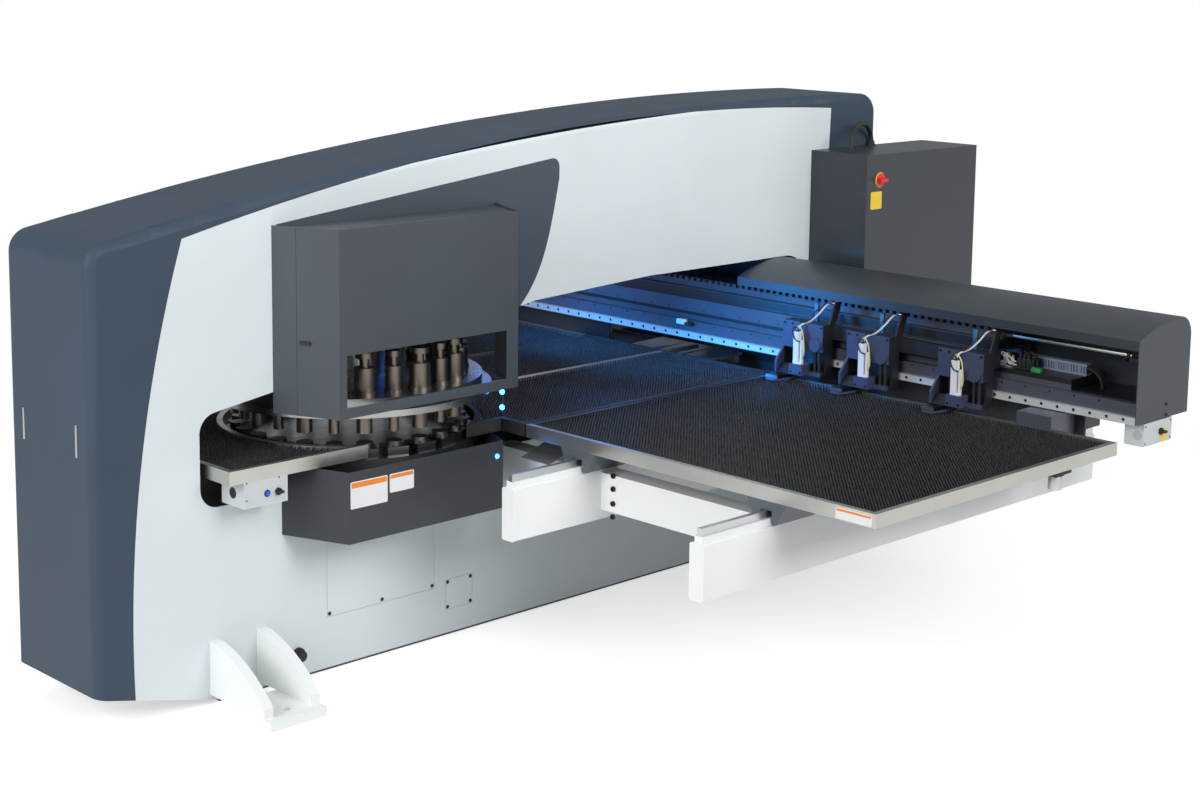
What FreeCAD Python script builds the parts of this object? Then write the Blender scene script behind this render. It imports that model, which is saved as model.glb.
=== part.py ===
import FreeCAD, Part
import math
import os
import Sketcher
from FreeCAD import Placement, Rotation, Vector

# A sheet-metal turret punch press with a closed frame.  The frame stands along Y, with the
# turret axis at X = Y = 0 and the floor at Z = 0.  +X is the side that the operator loads,
# +Y runs from the turret towards the cross rail that holds the sheet clamps.

SIZES = {
    # frame and its covers
    "sheet": 4.0,
    "core_border": 16.0,
    "frame_half": 300.0,
    "frame_front": 1400.0,
    "frame_rear": 3160.0,
    "ground_gap": 10.0,
    "bevel_back": 865.0,
    "bevel_rise": 130.0,
    "crown_y": 2600.0,
    "crown_height": 2217.0,
    "crown_radius": 21000.0,
    "front_bend": 90.0,
    "rear_bend": 100.0,
    "edge_round": 40.0,
    "cover_seam": 1790.0,
    "running_gap": 0.3,
    "shaft_fit": 0.05,
    # pale side panels
    "panel_front": 1243.0,
    "panel_front_radius": 5000.0,
    "panel_front_level": 300.0,
    "panel_top_front": 1007.0,
    "panel_peak_y": 1950.0,
    "panel_border": 37.0,
    "panel_top_radius": 12800.0,
    "panel_rear_top": 2789.0,
    "panel_rear_bottom": 2700.0,
    # opening through the frame
    "throat_front": 940.0,
    "throat_rear": 2640.0,
    "throat_floor": 780.0,
    "throat_front_roof": 1143.0,
    "throat_mid_y": 790.0,
    "throat_mid_roof": 1401.0,
    "throat_flat_y": 1500.0,
    "throat_roof": 1436.0,
    "throat_corner": 80.0,
    "throat_rear_corner": 170.0,
    "cavity_radius": 620.0,
    "cavity_roof": 1640.0,
    # access covers low on the loading side
    "access_front": 348.0,
    "access_rear": 215.0,
    "access_bottom": 222.0,
    "access_height": 370.0,
    "hatch_y": 353.0,
    "hatch_width": 152.0,
    "hatch_bottom": 112.0,
    "hatch_height": 134.0,
    "seam_gap": 1.5,
    # anchor feet
    "foot_front_y": 780.0,
    "foot_rear_y": 2500.0,
    "foot_width": 260.0,
    "foot_reach": 400.0,
    "foot_inset": 130.0,
    "foot_base": 40.0,
    "foot_rib": 42.0,
    "foot_height": 255.0,
    "foot_toe": 80.0,
    "foot_sweep": 640.0,
    "foot_hole_radius": 16.0,
    "foot_hole_reach": 320.0,
    # turret
    "turret_radius": 600.0,
    "turret_bottom": 1080.0,
    "turret_rim": 26.0,
    "turret_step": 40.0,
    "turret_thickness": 70.0,
    "shaft_radius": 150.0,
    "shaft_depth": 120.0,
    "lower_radius": 525.0,
    "lower_bottom": 810.0,
    "lower_thickness": 85.0,
    "station_radius": 465.0,
    "station_pairs": 12.0,
    "large_tool": 40.0,
    "small_tool": 29.0,
    "tool_fit": 0.1,
    "nose_drop": 88.0,
    "nose_relief": 8.0,
    "collar_lip": 8.0,
    "can_lip": 3.0,
    "can_height": 95.0,
    "neck_height": 38.0,
    "head_height": 24.0,
    "collar_height": 14.0,
    "die_block_side": 92.0,
    "die_block_height": 38.0,
    "die_radius": 34.0,
    "die_height": 20.0,
    # ram above the working station
    "ram_radius": 45.0,
    "striker_radius": 56.0,
    "striker_height": 60.0,
    "ram_rise": 350.0,
    "ram_headroom": 45.0,
    "cylinder_radius": 95.0,
    "cylinder_flange": 110.0,
    "flange_height": 40.0,
    "punch_rise": 31.0,
    # housing round the upper turret
    "housing_front": 575.0,
    "housing_left": 600.0,
    "housing_left_corner": 485.0,
    "housing_right_corner": 440.0,
    "housing_right": 555.0,
    "housing_bottom": 1110.0,
    "housing_top": 1850.0,
    "housing_sheet": 3.0,
    "housing_recess": 10.0,
    "door_seam": 400.0,
    "door_gap": 1.5,
    "window_left": 448.0,
    "window_right": 375.0,
    "window_bottom": 1152.0,
    "window_top": 1358.0,
    "latch_height": 1400.0,
    "latch_length": 46.0,
    "latch_radius": 7.0,
    "latch_pin": 9.0,
    # skirt round the lower turret
    "skirt_front": 590.0,
    "skirt_left": 565.0,
    "skirt_left_corner": 455.0,
    "skirt_right_corner": 345.0,
    "skirt_right": 455.0,
    "skirt_bottom": 612.0,
    "skirt_top": 900.0,
    # brush tables
    "table_top": 957.0,
    "table_edge": 54.0,
    "table_bar": 25.0,
    "table_floor": 27.0,
    "table_arc": 528.0,
    "front_table_half": 460.0,
    "front_table_front": 915.0,
    "centre_table_half": 610.0,
    "centre_table_step": 464.0,
    "wing_front": 445.0,
    "wing_rear": 2035.0,
    "wing_gap": 10.0,
    "wing_outer": 2450.0,
    "brush_pitch": 40.0,
    "brush_groove": 18.0,
    "brush_depth": 20.0,
    "leg_side": 60.0,
    "leg_reach": 230.0,
    # cantilevered beams with the rails of the moving tables
    "inner_beam_x": 930.0,
    "outer_beam_x": 1943.0,
    "beam_half": 31.0,
    "beam_front": 80.0,
    "beam_rear": 2640.0,
    "beam_bottom": 603.0,
    "beam_height": 207.0,
    "step_half": 22.0,
    "step_height": 28.0,
    "rail_half": 11.0,
    "rail_height": 30.0,
    "end_plate": 12.0,
    "end_plate_border": 4.0,
    "end_plate_corner": 10.0,
    "cross_front": 552.0,
    "cross_rear": 2300.0,
    "cross_width": 100.0,
    "cross_bottom": 644.0,
    "cross_height": 156.0,
    "channel_top_half": 100.0,
    "channel_bottom_half": 50.0,
    "channel_slot_half": 27.0,
    "channel_foot_gap": 8.0,
    # chute cover between the skirt and the inner beam
    "chute_inner": 640.0,
    "chute_outer": 810.0,
    "chute_front": 400.0,
    "chute_low": 826.0,
    "chute_rise": 50.0,
    # cross rail that carries the clamps
    "rail_beam_half": 2487.0,
    "rail_beam_front": 2128.0,
    "rail_beam_bottom": 1018.0,
    "rail_beam_depth": 312.0,
    "rail_beam_chamfer": 70.0,
    "rail_lower_height": 87.0,
    "rail_groove_setback": 37.0,
    "rail_groove_height": 44.0,
    "rail_upper_setback": 12.0,
    "rail_upper_height": 66.0,
    "rail_ledge_setback": 47.0,
    "rail_ledge_height": 46.0,
    "rail_top_setback": 88.0,
    "rail_top_height": 29.0,
    "front_rail_depth": 24.0,
    "front_rail_height": 30.0,
    "rail_step_setback": 737.0,
    "rail_foot_setback": 495.0,
    "rail_foot_width": 170.0,
    "rail_foot_front": 1990.0,
    "rail_foot_bottom": 925.0,
    "apron_inner": 650.0,
    "apron_setback": 287.0,
    "apron_front": 2190.0,
    "apron_depth": 10.0,
    "apron_bottom": 905.0,
    "tooth_pitch": 40.0,
    "tooth_height": 14.0,
    # hoods over the cross rail
    "hood_inner": 310.0,
    "hood_front": 2100.0,
    "hood_rear": 2510.0,
    "hood_bottom": 1022.0,
    "hood_crease": 1371.0,
    "hood_lip": 40.0,
    "hood_crown": 1435.0,
    "hood_bulge": 900.0,
    "hood_corner": 85.0,
    "hood_sheet": 3.0,
    # clamps
    "first_clamp": 725.0,
    "second_clamp": 1105.0,
    "third_clamp": 1610.0,
    "clamp_half": 48.0,
    "clamp_reach": 190.0,
    "clamp_plate": 10.0,
    "clamp_front": 1960.0,
    "clamp_bottom": 985.0,
    "cheek_height": 51.0,
    "seat_reach": 115.0,
    "clamp_foot_height": 18.0,
    "clamp_foot_front": 2000.0,
    "clamp_head_front": 2015.0,
    "clamp_head_bottom": 1100.0,
    "clamp_head_height": 125.0,
    "clamp_boss_reach": 150.0,
    "clamp_boss_radius": 31.0,
    "clamp_boss_rise": 30.0,
    "clamp_boss_depth": 12.0,
    "clamp_rod_radius": 9.0,
    "clamp_rod_pitch": 26.0,
    "clamp_rod_y": 2030.0,
    "arm_width": 45.0,
    "arm_lean": 60.0,
    "arm_bend": 1180.0,
    "arm_top": 1322.0,
    "post_reach": 88.0,
    "post_width": 18.0,
    "post_height": 90.0,
    "carriage_back": 2090.0,
    "carriage_bottom": 1152.0,
    "carriage_height": 60.0,
    "carriage_margin": 90.0,
    "tongue_tip": 1870.0,
    "tongue_half": 42.0,
    "tongue_gap": 3.0,
    "tongue_height": 8.0,
    "jaw_half": 34.0,
    "jaw_height": 13.0,
    "jaw_gap": 3.0,
    "jaw_arm": 30.0,
    "jaw_pivot_y": 2030.0,
    "jaw_pivot_z": 1012.0,
    "jaw_pin": 7.0,
    "actuator_reach": 53.0,
    "actuator_width": 30.0,
    "actuator_front": 1970.0,
    "actuator_depth": 22.0,
    "actuator_height": 150.0,
    "actuator_base": 8.0,
    "actuator_gap": 6.0,
    "strip_width": 9.0,
    "strip_height": 112.0,
    # electrical cabinet
    "cabinet_outer": 650.0,
    "cabinet_front": 2645.0,
    "cabinet_rear": 3550.0,
    "cabinet_top": 1950.0,
    "cabinet_sheet": 3.0,
    "cabinet_plinth": 60.0,
    "cabinet_door": 18.0,
    "switch_y": 2750.0,
    "switch_z": 1824.0,
    "switch_plate": 34.0,
    "switch_boss": 20.0,
    "switch_grip": 29.0,
    "switch_depth": 30.0,
    # control boxes
    "front_box_front": 850.0,
    "front_box_rear": 650.0,
    "front_box_width": 150.0,
    "front_box_bottom": 800.0,
    "button_y": 745.0,
    "selector_y": 695.0,
    "control_z": 846.0,
    "button_radius": 10.0,
    "button_reach": 8.0,
    "selector_radius": 14.0,
    "selector_grip": 12.5,
    "selector_reach": 26.0,
    "knockout_radius": 22.0,
    "knockout_depth": 12.0,
    "end_box_front": 2170.0,
    "end_box_rear": 2390.0,
    "end_box_width": 90.0,
    "end_box_height": 96.0,
    "end_selector_y": 2300.0,
    "end_selector_z": 970.0,
    # fittings at the loading end of the cross rail
    "duct_front": 2280.0,
    "duct_setback": 347.0,
    "duct_length": 310.0,
    "duct_height": 50.0,
    "duct_depth": 40.0,
    "chain_radius": 76.0,
    "chain_tube": 6.0,
    "chain_pitch": 13.0,
}

doc = FreeCAD.newDocument("turret_punch_press")
sheet = doc.addObject("Spreadsheet::Sheet", "Sizes")
for row, (alias, number) in enumerate(SIZES.items(), start=1):
    sheet.set(f"A{row}", alias)
    sheet.set(f"B{row}", str(number))
    sheet.setAlias(f"B{row}", alias)
doc.recompute()


class Size:
    """A length with both its number and the sheet formula that gives it."""

    def __init__(self, number, formula):
        self.number = number
        self.formula = formula

    def __add__(self, other):
        other = as_size(other)
        return Size(self.number + other.number, f"({self.formula} + {other.formula})")

    def __sub__(self, other):
        other = as_size(other)
        return Size(self.number - other.number, f"({self.formula} - {other.formula})")

    def __mul__(self, other):
        other = as_size(other)
        return Size(self.number * other.number, f"({self.formula} * {other.formula})")

    def __truediv__(self, other):
        other = as_size(other)
        return Size(self.number / other.number, f"({self.formula} / {other.formula})")

    def __radd__(self, other):
        return as_size(other) + self

    def __rsub__(self, other):
        return as_size(other) - self

    def __rmul__(self, other):
        return as_size(other) * self

    def __rtruediv__(self, other):
        return as_size(other) / self

    def __neg__(self):
        return as_size(0) - self


def as_size(thing):
    """Turn a plain number into a Size; a Size is returned as it is."""
    return thing if isinstance(thing, Size) else Size(float(thing), repr(float(thing)))


def root(size):
    """Square root of a Size."""
    return Size(math.sqrt(size.number), f"sqrt({size.formula})")


def whole(size):
    """Size rounded down to a whole number."""
    return Size(math.floor(size.number), f"floor({size.formula})")


class SheetSizes:
    """The cells of the sheet as attributes."""

    def __getattr__(self, alias):
        return Size(float(sheet.get(alias)), f"Sizes.{alias}")


s = SheetSizes()


def bind(item, **sizes):
    """Set lengths of an object and bind them to the sheet."""
    for name, size in sizes.items():
        size = as_size(size)
        setattr(item, name, size.number)
        item.setExpression(name, size.formula)
    return item


def place(item, x=0, y=0, z=0):
    """Move an object and bind its position to the sheet."""
    spots = [as_size(value) for value in (x, y, z)]
    item.Placement = Placement(Vector(*[spot.number for spot in spots]), item.Placement.Rotation)
    for axis, spot in zip("xyz", spots):
        item.setExpression(f"Placement.Base.{axis}", spot.formula)
    return item


class Circle:
    """A round outline in a sketch."""

    def __init__(self, x, y, radius):
        self.x = as_size(x)
        self.y = as_size(y)
        self.radius = as_size(radius)


def constrain(sketch, kind, where, size):
    """Add a dimension to a sketch and bind it to the sheet."""
    index = sketch.addConstraint(Sketcher.Constraint(kind, *where, size.number))
    sketch.setExpression(f"Constraints[{index}]", size.formula)


def draw_circle(sketch, circle):
    """Draw a circle whose centre and radius follow the sheet."""
    centre = Vector(circle.x.number, circle.y.number, 0)
    index = sketch.addGeometry(Part.Circle(centre, Vector(0, 0, 1), circle.radius.number))
    constrain(sketch, "DistanceX", (-1, 1, index, 3), circle.x)
    constrain(sketch, "DistanceY", (-1, 1, index, 3), circle.y)
    constrain(sketch, "Radius", (index,), circle.radius)


def arc_between(start, end, radius):
    """Arc of under half a turn; a negative radius runs clockwise."""
    chord = end - start
    side = Vector(-chord.y, chord.x, 0).normalize()
    height = math.sqrt(radius * radius - (chord.Length / 2) ** 2)
    centre = (start + end) * 0.5 + side * (height if radius > 0 else -height)
    circle = Part.Circle(centre, Vector(0, 0, 1), abs(radius))
    first, last = (start, end) if radius > 0 else (end, start)
    return Part.ArcOfCircle(circle, circle.parameter(first), circle.parameter(last))


def draw_outline(sketch, outline):
    """Draw a closed outline.

    Each point is (x, y), or (x, y, radius) where an arc leaves the point.
    """
    points = [[as_size(value) for value in point] for point in outline]
    spots = [Vector(point[0].number, point[1].number, 0) for point in points]
    edges = []
    for here, point in enumerate(points):
        start, end = spots[here], spots[(here + 1) % len(points)]
        if len(point) == 3:
            edge = sketch.addGeometry(arc_between(start, end, point[2].number))
            ends = (1, 2) if point[2].number > 0 else (2, 1)
        else:
            edge = sketch.addGeometry(Part.LineSegment(start, end))
            ends = (1, 2)
        edges.append((edge, ends))
    for here, point in enumerate(points):
        edge, ends = edges[here]
        before, before_ends = edges[here - 1]
        joint = Sketcher.Constraint("Coincident", before, before_ends[1], edge, ends[0])
        sketch.addConstraint(joint)
        constrain(sketch, "DistanceX", (-1, 1, edge, ends[0]), point[0])
        constrain(sketch, "DistanceY", (-1, 1, edge, ends[0]), point[1])
        if len(point) == 3:
            size = point[2] if point[2].number > 0 else -point[2]
            constrain(sketch, "Radius", (edge,), size)


# Where each sketch plane lies, and which way its normal points along the third axis.
PLANES = {"XY": ("XY_Plane", 1), "YZ": ("YZ_Plane", 1), "XZ": ("XZ_Plane", -1)}


class Piece:
    """A sub-part built up from outlines that are padded, pocketed and rounded."""

    def __init__(self, label):
        self.body = doc.addObject("PartDesign::Body", label)
        self.body.Label = label

    def sketch(self, plane, offset, shapes):
        """Make a sketch parallel to a plane, at an offset along its normal."""
        role, _ = PLANES[plane]
        sketch = self.body.newObject("Sketcher::SketchObject", "outline")
        support = [item for item in self.body.Origin.OriginFeatures if item.Role == role][0]
        sketch.AttachmentSupport = [(support, "")]
        sketch.MapMode = "FlatFace"
        sketch.AttachmentOffset = Placement(Vector(0, 0, offset.number), Rotation())
        sketch.setExpression("AttachmentOffset.Base.z", offset.formula)
        for shape in shapes:
            if isinstance(shape, Circle):
                draw_circle(sketch, shape)
            else:
                draw_outline(sketch, shape)
        return sketch

    def add(self, plane, low, high, *shapes):
        """Pad outlines from low to high along the plane's third axis."""
        low, high = as_size(low), as_size(high)
        offset = low if PLANES[plane][1] > 0 else -high
        pad = self.body.newObject("PartDesign::Pad", "pad")
        pad.Profile = self.sketch(plane, offset, shapes)
        return self.finish(bind(pad, Length=high - low))

    def cut(self, plane, low, high, *shapes):
        """Pocket outlines from low to high along the plane's third axis."""
        low, high = as_size(low), as_size(high)
        offset = high if PLANES[plane][1] > 0 else -low
        before = self.shape.Volume
        pocket = self.body.newObject("PartDesign::Pocket", "pocket")
        pocket.Profile = self.sketch(plane, offset, shapes)
        self.finish(bind(pocket, Length=high - low))
        if not self.shape.Volume < before:
            raise RuntimeError(f"{self.body.Label}: a pocket removes nothing")
        return self

    def finish(self, feature):
        """Make a new feature the tip of the body and compute it."""
        self.body.Tip = feature
        doc.recompute()
        if not feature.isValid():
            raise RuntimeError(f"{self.body.Label}: {feature.Label} did not compute")
        return self

    @property
    def shape(self):
        return self.body.Tip.Shape

    def edges_at(self, plane, spots):
        """Names of the edges that run square to a plane through the given points."""
        first, second = plane.lower()
        names = []
        for number, edge in enumerate(self.shape.Edges, start=1):
            ends = [vertex.Point for vertex in edge.Vertexes]
            for x, y in spots:
                misses = [math.hypot(getattr(end, first) - as_size(x).number,
                                     getattr(end, second) - as_size(y).number) for end in ends]
                if len(ends) == 2 and max(misses) < 0.01:
                    names.append(f"Edge{number}")
        return names

    def round(self, radius, plane, *spots):
        """Round the edges that run square to a plane through the given points."""
        base = (self.body.Tip, self.edges_at(plane, spots))
        fillet = self.body.newObject("PartDesign::Fillet", "round")
        fillet.Base = base
        return self.finish(bind(fillet, Radius=radius))

    def repeat_last(self, plane, axis, length, count):
        """Repeat the last feature in a line of count copies over a length."""
        original = self.body.Tip
        pattern = self.body.newObject("PartDesign::LinearPattern", "row")
        pattern.Originals = [original]
        pattern.Direction = (original.Profile[0], [axis])
        bind(pattern, Length=length)
        pattern.Occurrences = int(round(as_size(count).number))
        pattern.setExpression("Occurrences", f"round({as_size(count).formula})")
        return self.finish(pattern)

    def ring_last(self, count):
        """Repeat the last feature in a ring round the turret axis."""
        original = self.body.Tip
        pattern = self.body.newObject("PartDesign::PolarPattern", "ring")
        pattern.Originals = [original]
        pattern.Axis = (original.Profile[0], ["N_Axis"])
        pattern.Angle = 360
        pattern.Occurrences = int(round(as_size(count).number))
        pattern.setExpression("Occurrences", f"round({as_size(count).formula})")
        return self.finish(pattern)


def join(kind, label, *items):
    """Combine objects with a boolean; the label names the result."""
    result = doc.addObject(f"Part::{kind}", label)
    result.Label = label
    if kind == "Cut":
        result.Base, result.Tool = items
    else:
        result.Shapes = list(items)
    doc.recompute()
    return result


def mirror(label, source):
    """The same piece on the other side of the frame."""
    result = doc.addObject("Part::Mirroring", label)
    result.Label = label
    result.Source = source
    result.Base = Vector(0, 0, 0)
    result.Normal = Vector(1, 0, 0)
    doc.recompute()
    return result


def box(label, x, y, z):
    """A block between two limits along each axis."""
    item = doc.addObject("Part::Box", label)
    item.Label = label
    limits = [(as_size(low), as_size(high)) for low, high in (x, y, z)]
    spans = [high - low for low, high in limits]
    bind(item, Length=spans[0], Width=spans[1], Height=spans[2])
    return place(item, *[low for low, _ in limits])


def cylinder(label, x, y, low, high, radius):
    """An upright cylinder."""
    item = doc.addObject("Part::Cylinder", label)
    item.Label = label
    low, high = as_size(low), as_size(high)
    bind(item, Radius=radius, Height=high - low)
    return place(item, x, y, low)


def rectangle(left, right, bottom, top):
    """Corner points of an upright rectangle."""
    return [(left, bottom), (right, bottom), (right, top), (left, top)]


parts = []


def keep(item):
    """Hand in an object as a sub-part."""
    parts.append(item.body if isinstance(item, Piece) else item)
    return item


# --- frame and covers ---------------------------------------------------------------------

def frame_outline(inset):
    """Side view of the frame, drawn in by an inset: a bevelled toe and a long low crown."""
    front = inset - s.frame_front
    rear = s.frame_rear - inset
    radius = s.crown_radius - inset
    centre = s.crown_height - s.crown_radius

    def crown(y):
        return centre + root(radius * radius - (y - s.crown_y) * (y - s.crown_y))

    slope = s.bevel_rise / (s.frame_front - s.bevel_back)
    toe = s.ground_gap + slope * (-front - s.bevel_back)
    return [(-s.bevel_back, s.ground_gap), (front, toe), (front, crown(front), -radius),
            (rear, crown(rear)), (rear, s.ground_gap)]


def frame_block(label, inset, border=0):
    """The frame as a solid block with its bends, drawn in by an inset.

    A border draws the ends and the crown in further, but not the two sides.
    """
    depth = as_size(inset) + border
    outline = frame_outline(depth)
    half = s.frame_half - inset
    block = Piece(label)
    block.add("YZ", -half, half, outline)
    block.round(s.front_bend - depth, "YZ", outline[2][:2])
    block.round(s.rear_bend - depth, "YZ", outline[3])
    block.round(s.edge_round - inset, "XY", (half, outline[1][0]), (-half, outline[1][0]))
    return block.body


def panel_outline():
    """Pale side panel: a bowed front edge and a flat arc along the top."""
    def front(z):
        rise = z - s.panel_front_level
        radius = s.panel_front_radius
        return radius - s.panel_front - root(radius * radius - rise * rise)

    def top(y):
        run = y - s.panel_peak_y
        radius = s.panel_top_radius
        peak = s.crown_height - s.panel_border
        return peak - radius + root(radius * radius - run * run)

    high = top(-s.panel_top_front)
    return [(front(s.ground_gap), s.ground_gap), (s.panel_rear_bottom, s.ground_gap),
            (s.panel_rear_top, top(s.panel_rear_top), s.panel_top_radius),
            (front(high), high, s.panel_front_radius)]


def throat_tool():
    """Space through the frame: the sheet gap and the round well of the turret."""
    outline = [(-s.throat_front, s.throat_floor), (s.throat_rear, s.throat_floor),
               (s.throat_rear, s.throat_roof), (s.throat_flat_y, s.throat_roof),
               (s.throat_mid_y, s.throat_mid_roof), (-s.throat_front, s.throat_front_roof)]
    reach = s.frame_half + s.sheet
    gap = Piece("throat_gap")
    gap.add("YZ", -reach, reach, outline)
    gap.round(s.throat_corner, "YZ", outline[0], outline[1], outline[5])
    gap.round(s.throat_rear_corner, "YZ", outline[2])
    well = cylinder("turret_well", 0, 0, s.turret_bottom - s.table_edge, s.cavity_roof,
                    s.cavity_radius)
    return join("MultiFuse", "throat_space", gap.body, well)


ram_y = s.station_radius
throat = throat_tool()
upper_shaft_top = s.cavity_roof + s.shaft_depth
lower_shaft_end = s.throat_floor - s.shaft_depth


def main_frame():
    """Welded closed frame on its base, with the bores of both turrets and of the ram."""
    half = s.frame_half - s.sheet
    base = box("frame_base", (-half, half),
               (-s.bevel_back, s.frame_rear - s.sheet - s.core_border),
               (0, s.ground_gap))
    core = join("MultiFuse", "frame_core", frame_block("frame_body", s.sheet, s.core_border), base)
    bore = s.shaft_radius + s.shaft_fit
    tools = [throat,
             cylinder("upper_bore", 0, 0, s.cavity_roof - s.sheet,
                      upper_shaft_top + s.running_gap, bore),
             cylinder("lower_bore", 0, 0, lower_shaft_end - s.running_gap,
                      s.throat_floor + s.sheet, bore),
             cylinder("ram_bore", 0, ram_y, s.cavity_roof - s.sheet, upper_shaft_top + s.sheet,
                      s.cylinder_radius)]
    return join("Cut", "main_frame", core, join("MultiFuse", "frame_cuts", *tools))


def covers():
    """Dark folded covers over the front end, the crown and the rear end."""
    wrap = join("Cut", "wrap_shell", frame_block("frame_envelope", 0),
                frame_block("wrap_inside", s.sheet))
    panel = Piece("panel_field")
    reach = s.frame_half + s.sheet
    panel.add("YZ", -reach, reach, panel_outline())
    wrap = join("Cut", "wrap_borders", wrap, panel.body)
    wide = s.frame_half + s.sheet
    long_front = s.frame_front + s.sheet
    long_rear = s.frame_rear + s.sheet
    tall = s.crown_height + s.sheet
    middle = s.throat_mid_y
    crown = box("crown_zone", (-wide, wide), (-long_front, long_rear), (s.cover_seam, tall))
    front = box("front_zone", (-wide, wide), (-long_front, middle), (0, s.cover_seam))
    rear = box("rear_zone", (-wide, wide), (middle, long_rear), (0, s.cover_seam))
    return [join("MultiCommon", label, wrap, zone) for label, zone in
            (("top_cover", crown), ("front_cover", front), ("rear_cover", rear))]


def hatch_fields(margin):
    """The two covers low on the panel, as outlines that shrink by a margin."""
    large = rectangle(margin - s.access_front, s.access_rear - margin,
                      s.access_bottom + margin, s.access_bottom + s.access_height - margin)
    small = rectangle(s.hatch_y - s.hatch_width / 2 + margin,
                      s.hatch_y + s.hatch_width / 2 - margin,
                      s.hatch_bottom + margin, s.hatch_bottom + s.hatch_height - margin)
    return large, small


def side_panels():
    """Pale panels over both sides; the loading side has two access covers let in."""
    inner = s.frame_half - s.sheet
    right = Piece("panel_sheet_right")
    right.add("YZ", inner, s.frame_half, panel_outline())
    right.cut("YZ", inner, s.frame_half, *hatch_fields(0))
    left = Piece("panel_sheet_left")
    left.add("YZ", -s.frame_half, -inner, panel_outline())
    envelope = frame_block("panel_envelope", 0)
    panels = [join("Cut", f"side_panel_{side}",
                   join("MultiCommon", f"panel_field_{side}", panel.body, envelope), throat)
              for side, panel in (("right", right), ("left", left))]
    for label, field in zip(("access_cover", "access_hatch"), hatch_fields(s.seam_gap)):
        cover = Piece(label)
        cover.add("YZ", inner, s.frame_half, field)
        panels.append(cover.body)
    return panels


def anchor_foot(label, y):
    """Anchor foot: a base plate with two curved gusset ribs and a hole for the anchor."""
    side, end = s.frame_half, s.frame_half + s.foot_reach
    half = s.foot_width / 2
    notch = side + s.foot_inset
    foot = Piece(label)
    toe = end - s.foot_rib
    rib = [(side, s.foot_base), (notch, s.foot_base), (notch, 0), (toe, 0),
           (toe, s.foot_toe, s.foot_sweep), (side + s.foot_base, s.foot_height),
           (side, s.foot_height)]
    foot.add("XY", 0, s.foot_base, rectangle(notch, end, y - half, y + half))
    for low in (y - half, y + half - s.foot_rib):
        foot.add("XZ", low, low + s.foot_rib, rib)
    foot.cut("XY", 0, s.foot_base, Circle(side + s.foot_hole_reach, y, s.foot_hole_radius))
    return foot.body


for piece in [main_frame(), *covers(), *side_panels()]:
    keep(piece)

FEET = (("front", -s.foot_front_y), ("rear", s.foot_rear_y))
for end, y in FEET:
    foot = keep(anchor_foot(f"foot_{end}_right", y))
    keep(mirror(f"foot_{end}_left", foot))

# --- turret, punch tools and ram ----------------------------------------------------------

turret_top = s.turret_bottom + s.turret_thickness
lower_top = s.lower_bottom + s.lower_thickness
tool_top = turret_top + s.collar_height + s.can_height + s.neck_height + s.head_height
punch_top = tool_top + s.punch_rise
ram_bottom = punch_top + s.running_gap
station_step = 360 / s.station_pairs


def on_ring(radius, degrees):
    """Point on a ring round the turret axis."""
    angle = math.radians(degrees)
    return radius * math.cos(angle), radius * math.sin(angle)


def upper_turret():
    """Upper disc with its shaft; two kinds of tool bore alternate round the ring."""
    disc = Piece("upper_turret")
    rest = s.running_gap
    disc.add("XY", s.turret_bottom, turret_top, Circle(0, 0, s.turret_radius - s.turret_step))
    disc.add("XY", turret_top, upper_shaft_top - rest, Circle(0, 0, s.shaft_radius))
    half_step = station_step.number / 2
    for turn, radius in ((0, s.large_tool), (half_step, s.small_tool)):
        x, y = on_ring(s.station_radius, 90 + turn)
        disc.cut("XY", s.turret_bottom, turret_top, Circle(x, y, radius + s.tool_fit))
        disc.ring_last(s.station_pairs)
    return disc


def turret_ring():
    """Ring round the lower edge of the upper disc, just below the housings."""
    ring = Piece("turret_ring")
    ring.add("XY", s.turret_bottom, s.turret_bottom + s.turret_rim,
             Circle(0, 0, s.turret_radius), Circle(0, 0, s.turret_radius - s.turret_step))
    return ring


def tool_profile(radius, guide, rise):
    """Half section of a punch assembly: nose, guide, collar, spring can, neck and head."""
    nose = s.turret_bottom - s.nose_drop
    can = turret_top + s.collar_height
    neck = can + s.can_height
    head = neck + s.neck_height + rise
    steps = [(radius - s.nose_relief, nose, s.turret_bottom),
             (guide, s.turret_bottom, turret_top), (radius + s.collar_lip, turret_top, can),
             (radius + s.can_lip, can, neck), (radius / 2, neck, head),
             (radius - s.can_lip, head, head + s.head_height)]
    outline = [(0, nose)]
    for width, low, high in steps:
        outline += [(width, low), (width, high)]
    return outline + [(0, head + s.head_height)]


def turned(label, outline):
    """A piece turned round its own upright axis, from a half section in X and Z."""
    piece = Piece(label)
    sketch = piece.sketch("XZ", as_size(0), [outline])
    turn = piece.body.newObject("PartDesign::Revolution", "turn")
    turn.Profile = sketch
    turn.ReferenceAxis = (sketch, ["V_Axis"])
    turn.Angle = 360
    piece.finish(turn)
    return piece.body


def ring_copies(label, pieces):
    """Copies of master pieces round the ring, each given with its list of angles."""
    solids = []
    for piece, radius, angles in pieces:
        for degrees in angles:
            solid = piece.Shape.copy()
            solid.translate(Vector(radius.number, 0, 0))
            solid.rotate(Vector(0, 0, 0), Vector(0, 0, 1), degrees)
            solids.append(solid)
    group = doc.addObject("Part::Feature", label)
    group.Label = label
    group.Shape = Part.makeCompound(solids)
    return group


def punch_tools():
    """Punch assemblies of the stations that are not at work."""
    large = turned("large_tool", tool_profile(s.large_tool, s.large_tool, 0))
    small = turned("small_tool", tool_profile(s.small_tool, s.small_tool, 0))
    step = station_step.number
    count = int(s.station_pairs.number)
    return ring_copies("punch_tools", [
        (large, s.station_radius, [90 + step * turn for turn in range(1, count)]),
        (small, s.station_radius, [90 + step * (turn + 0.5) for turn in range(count)])])


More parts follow.
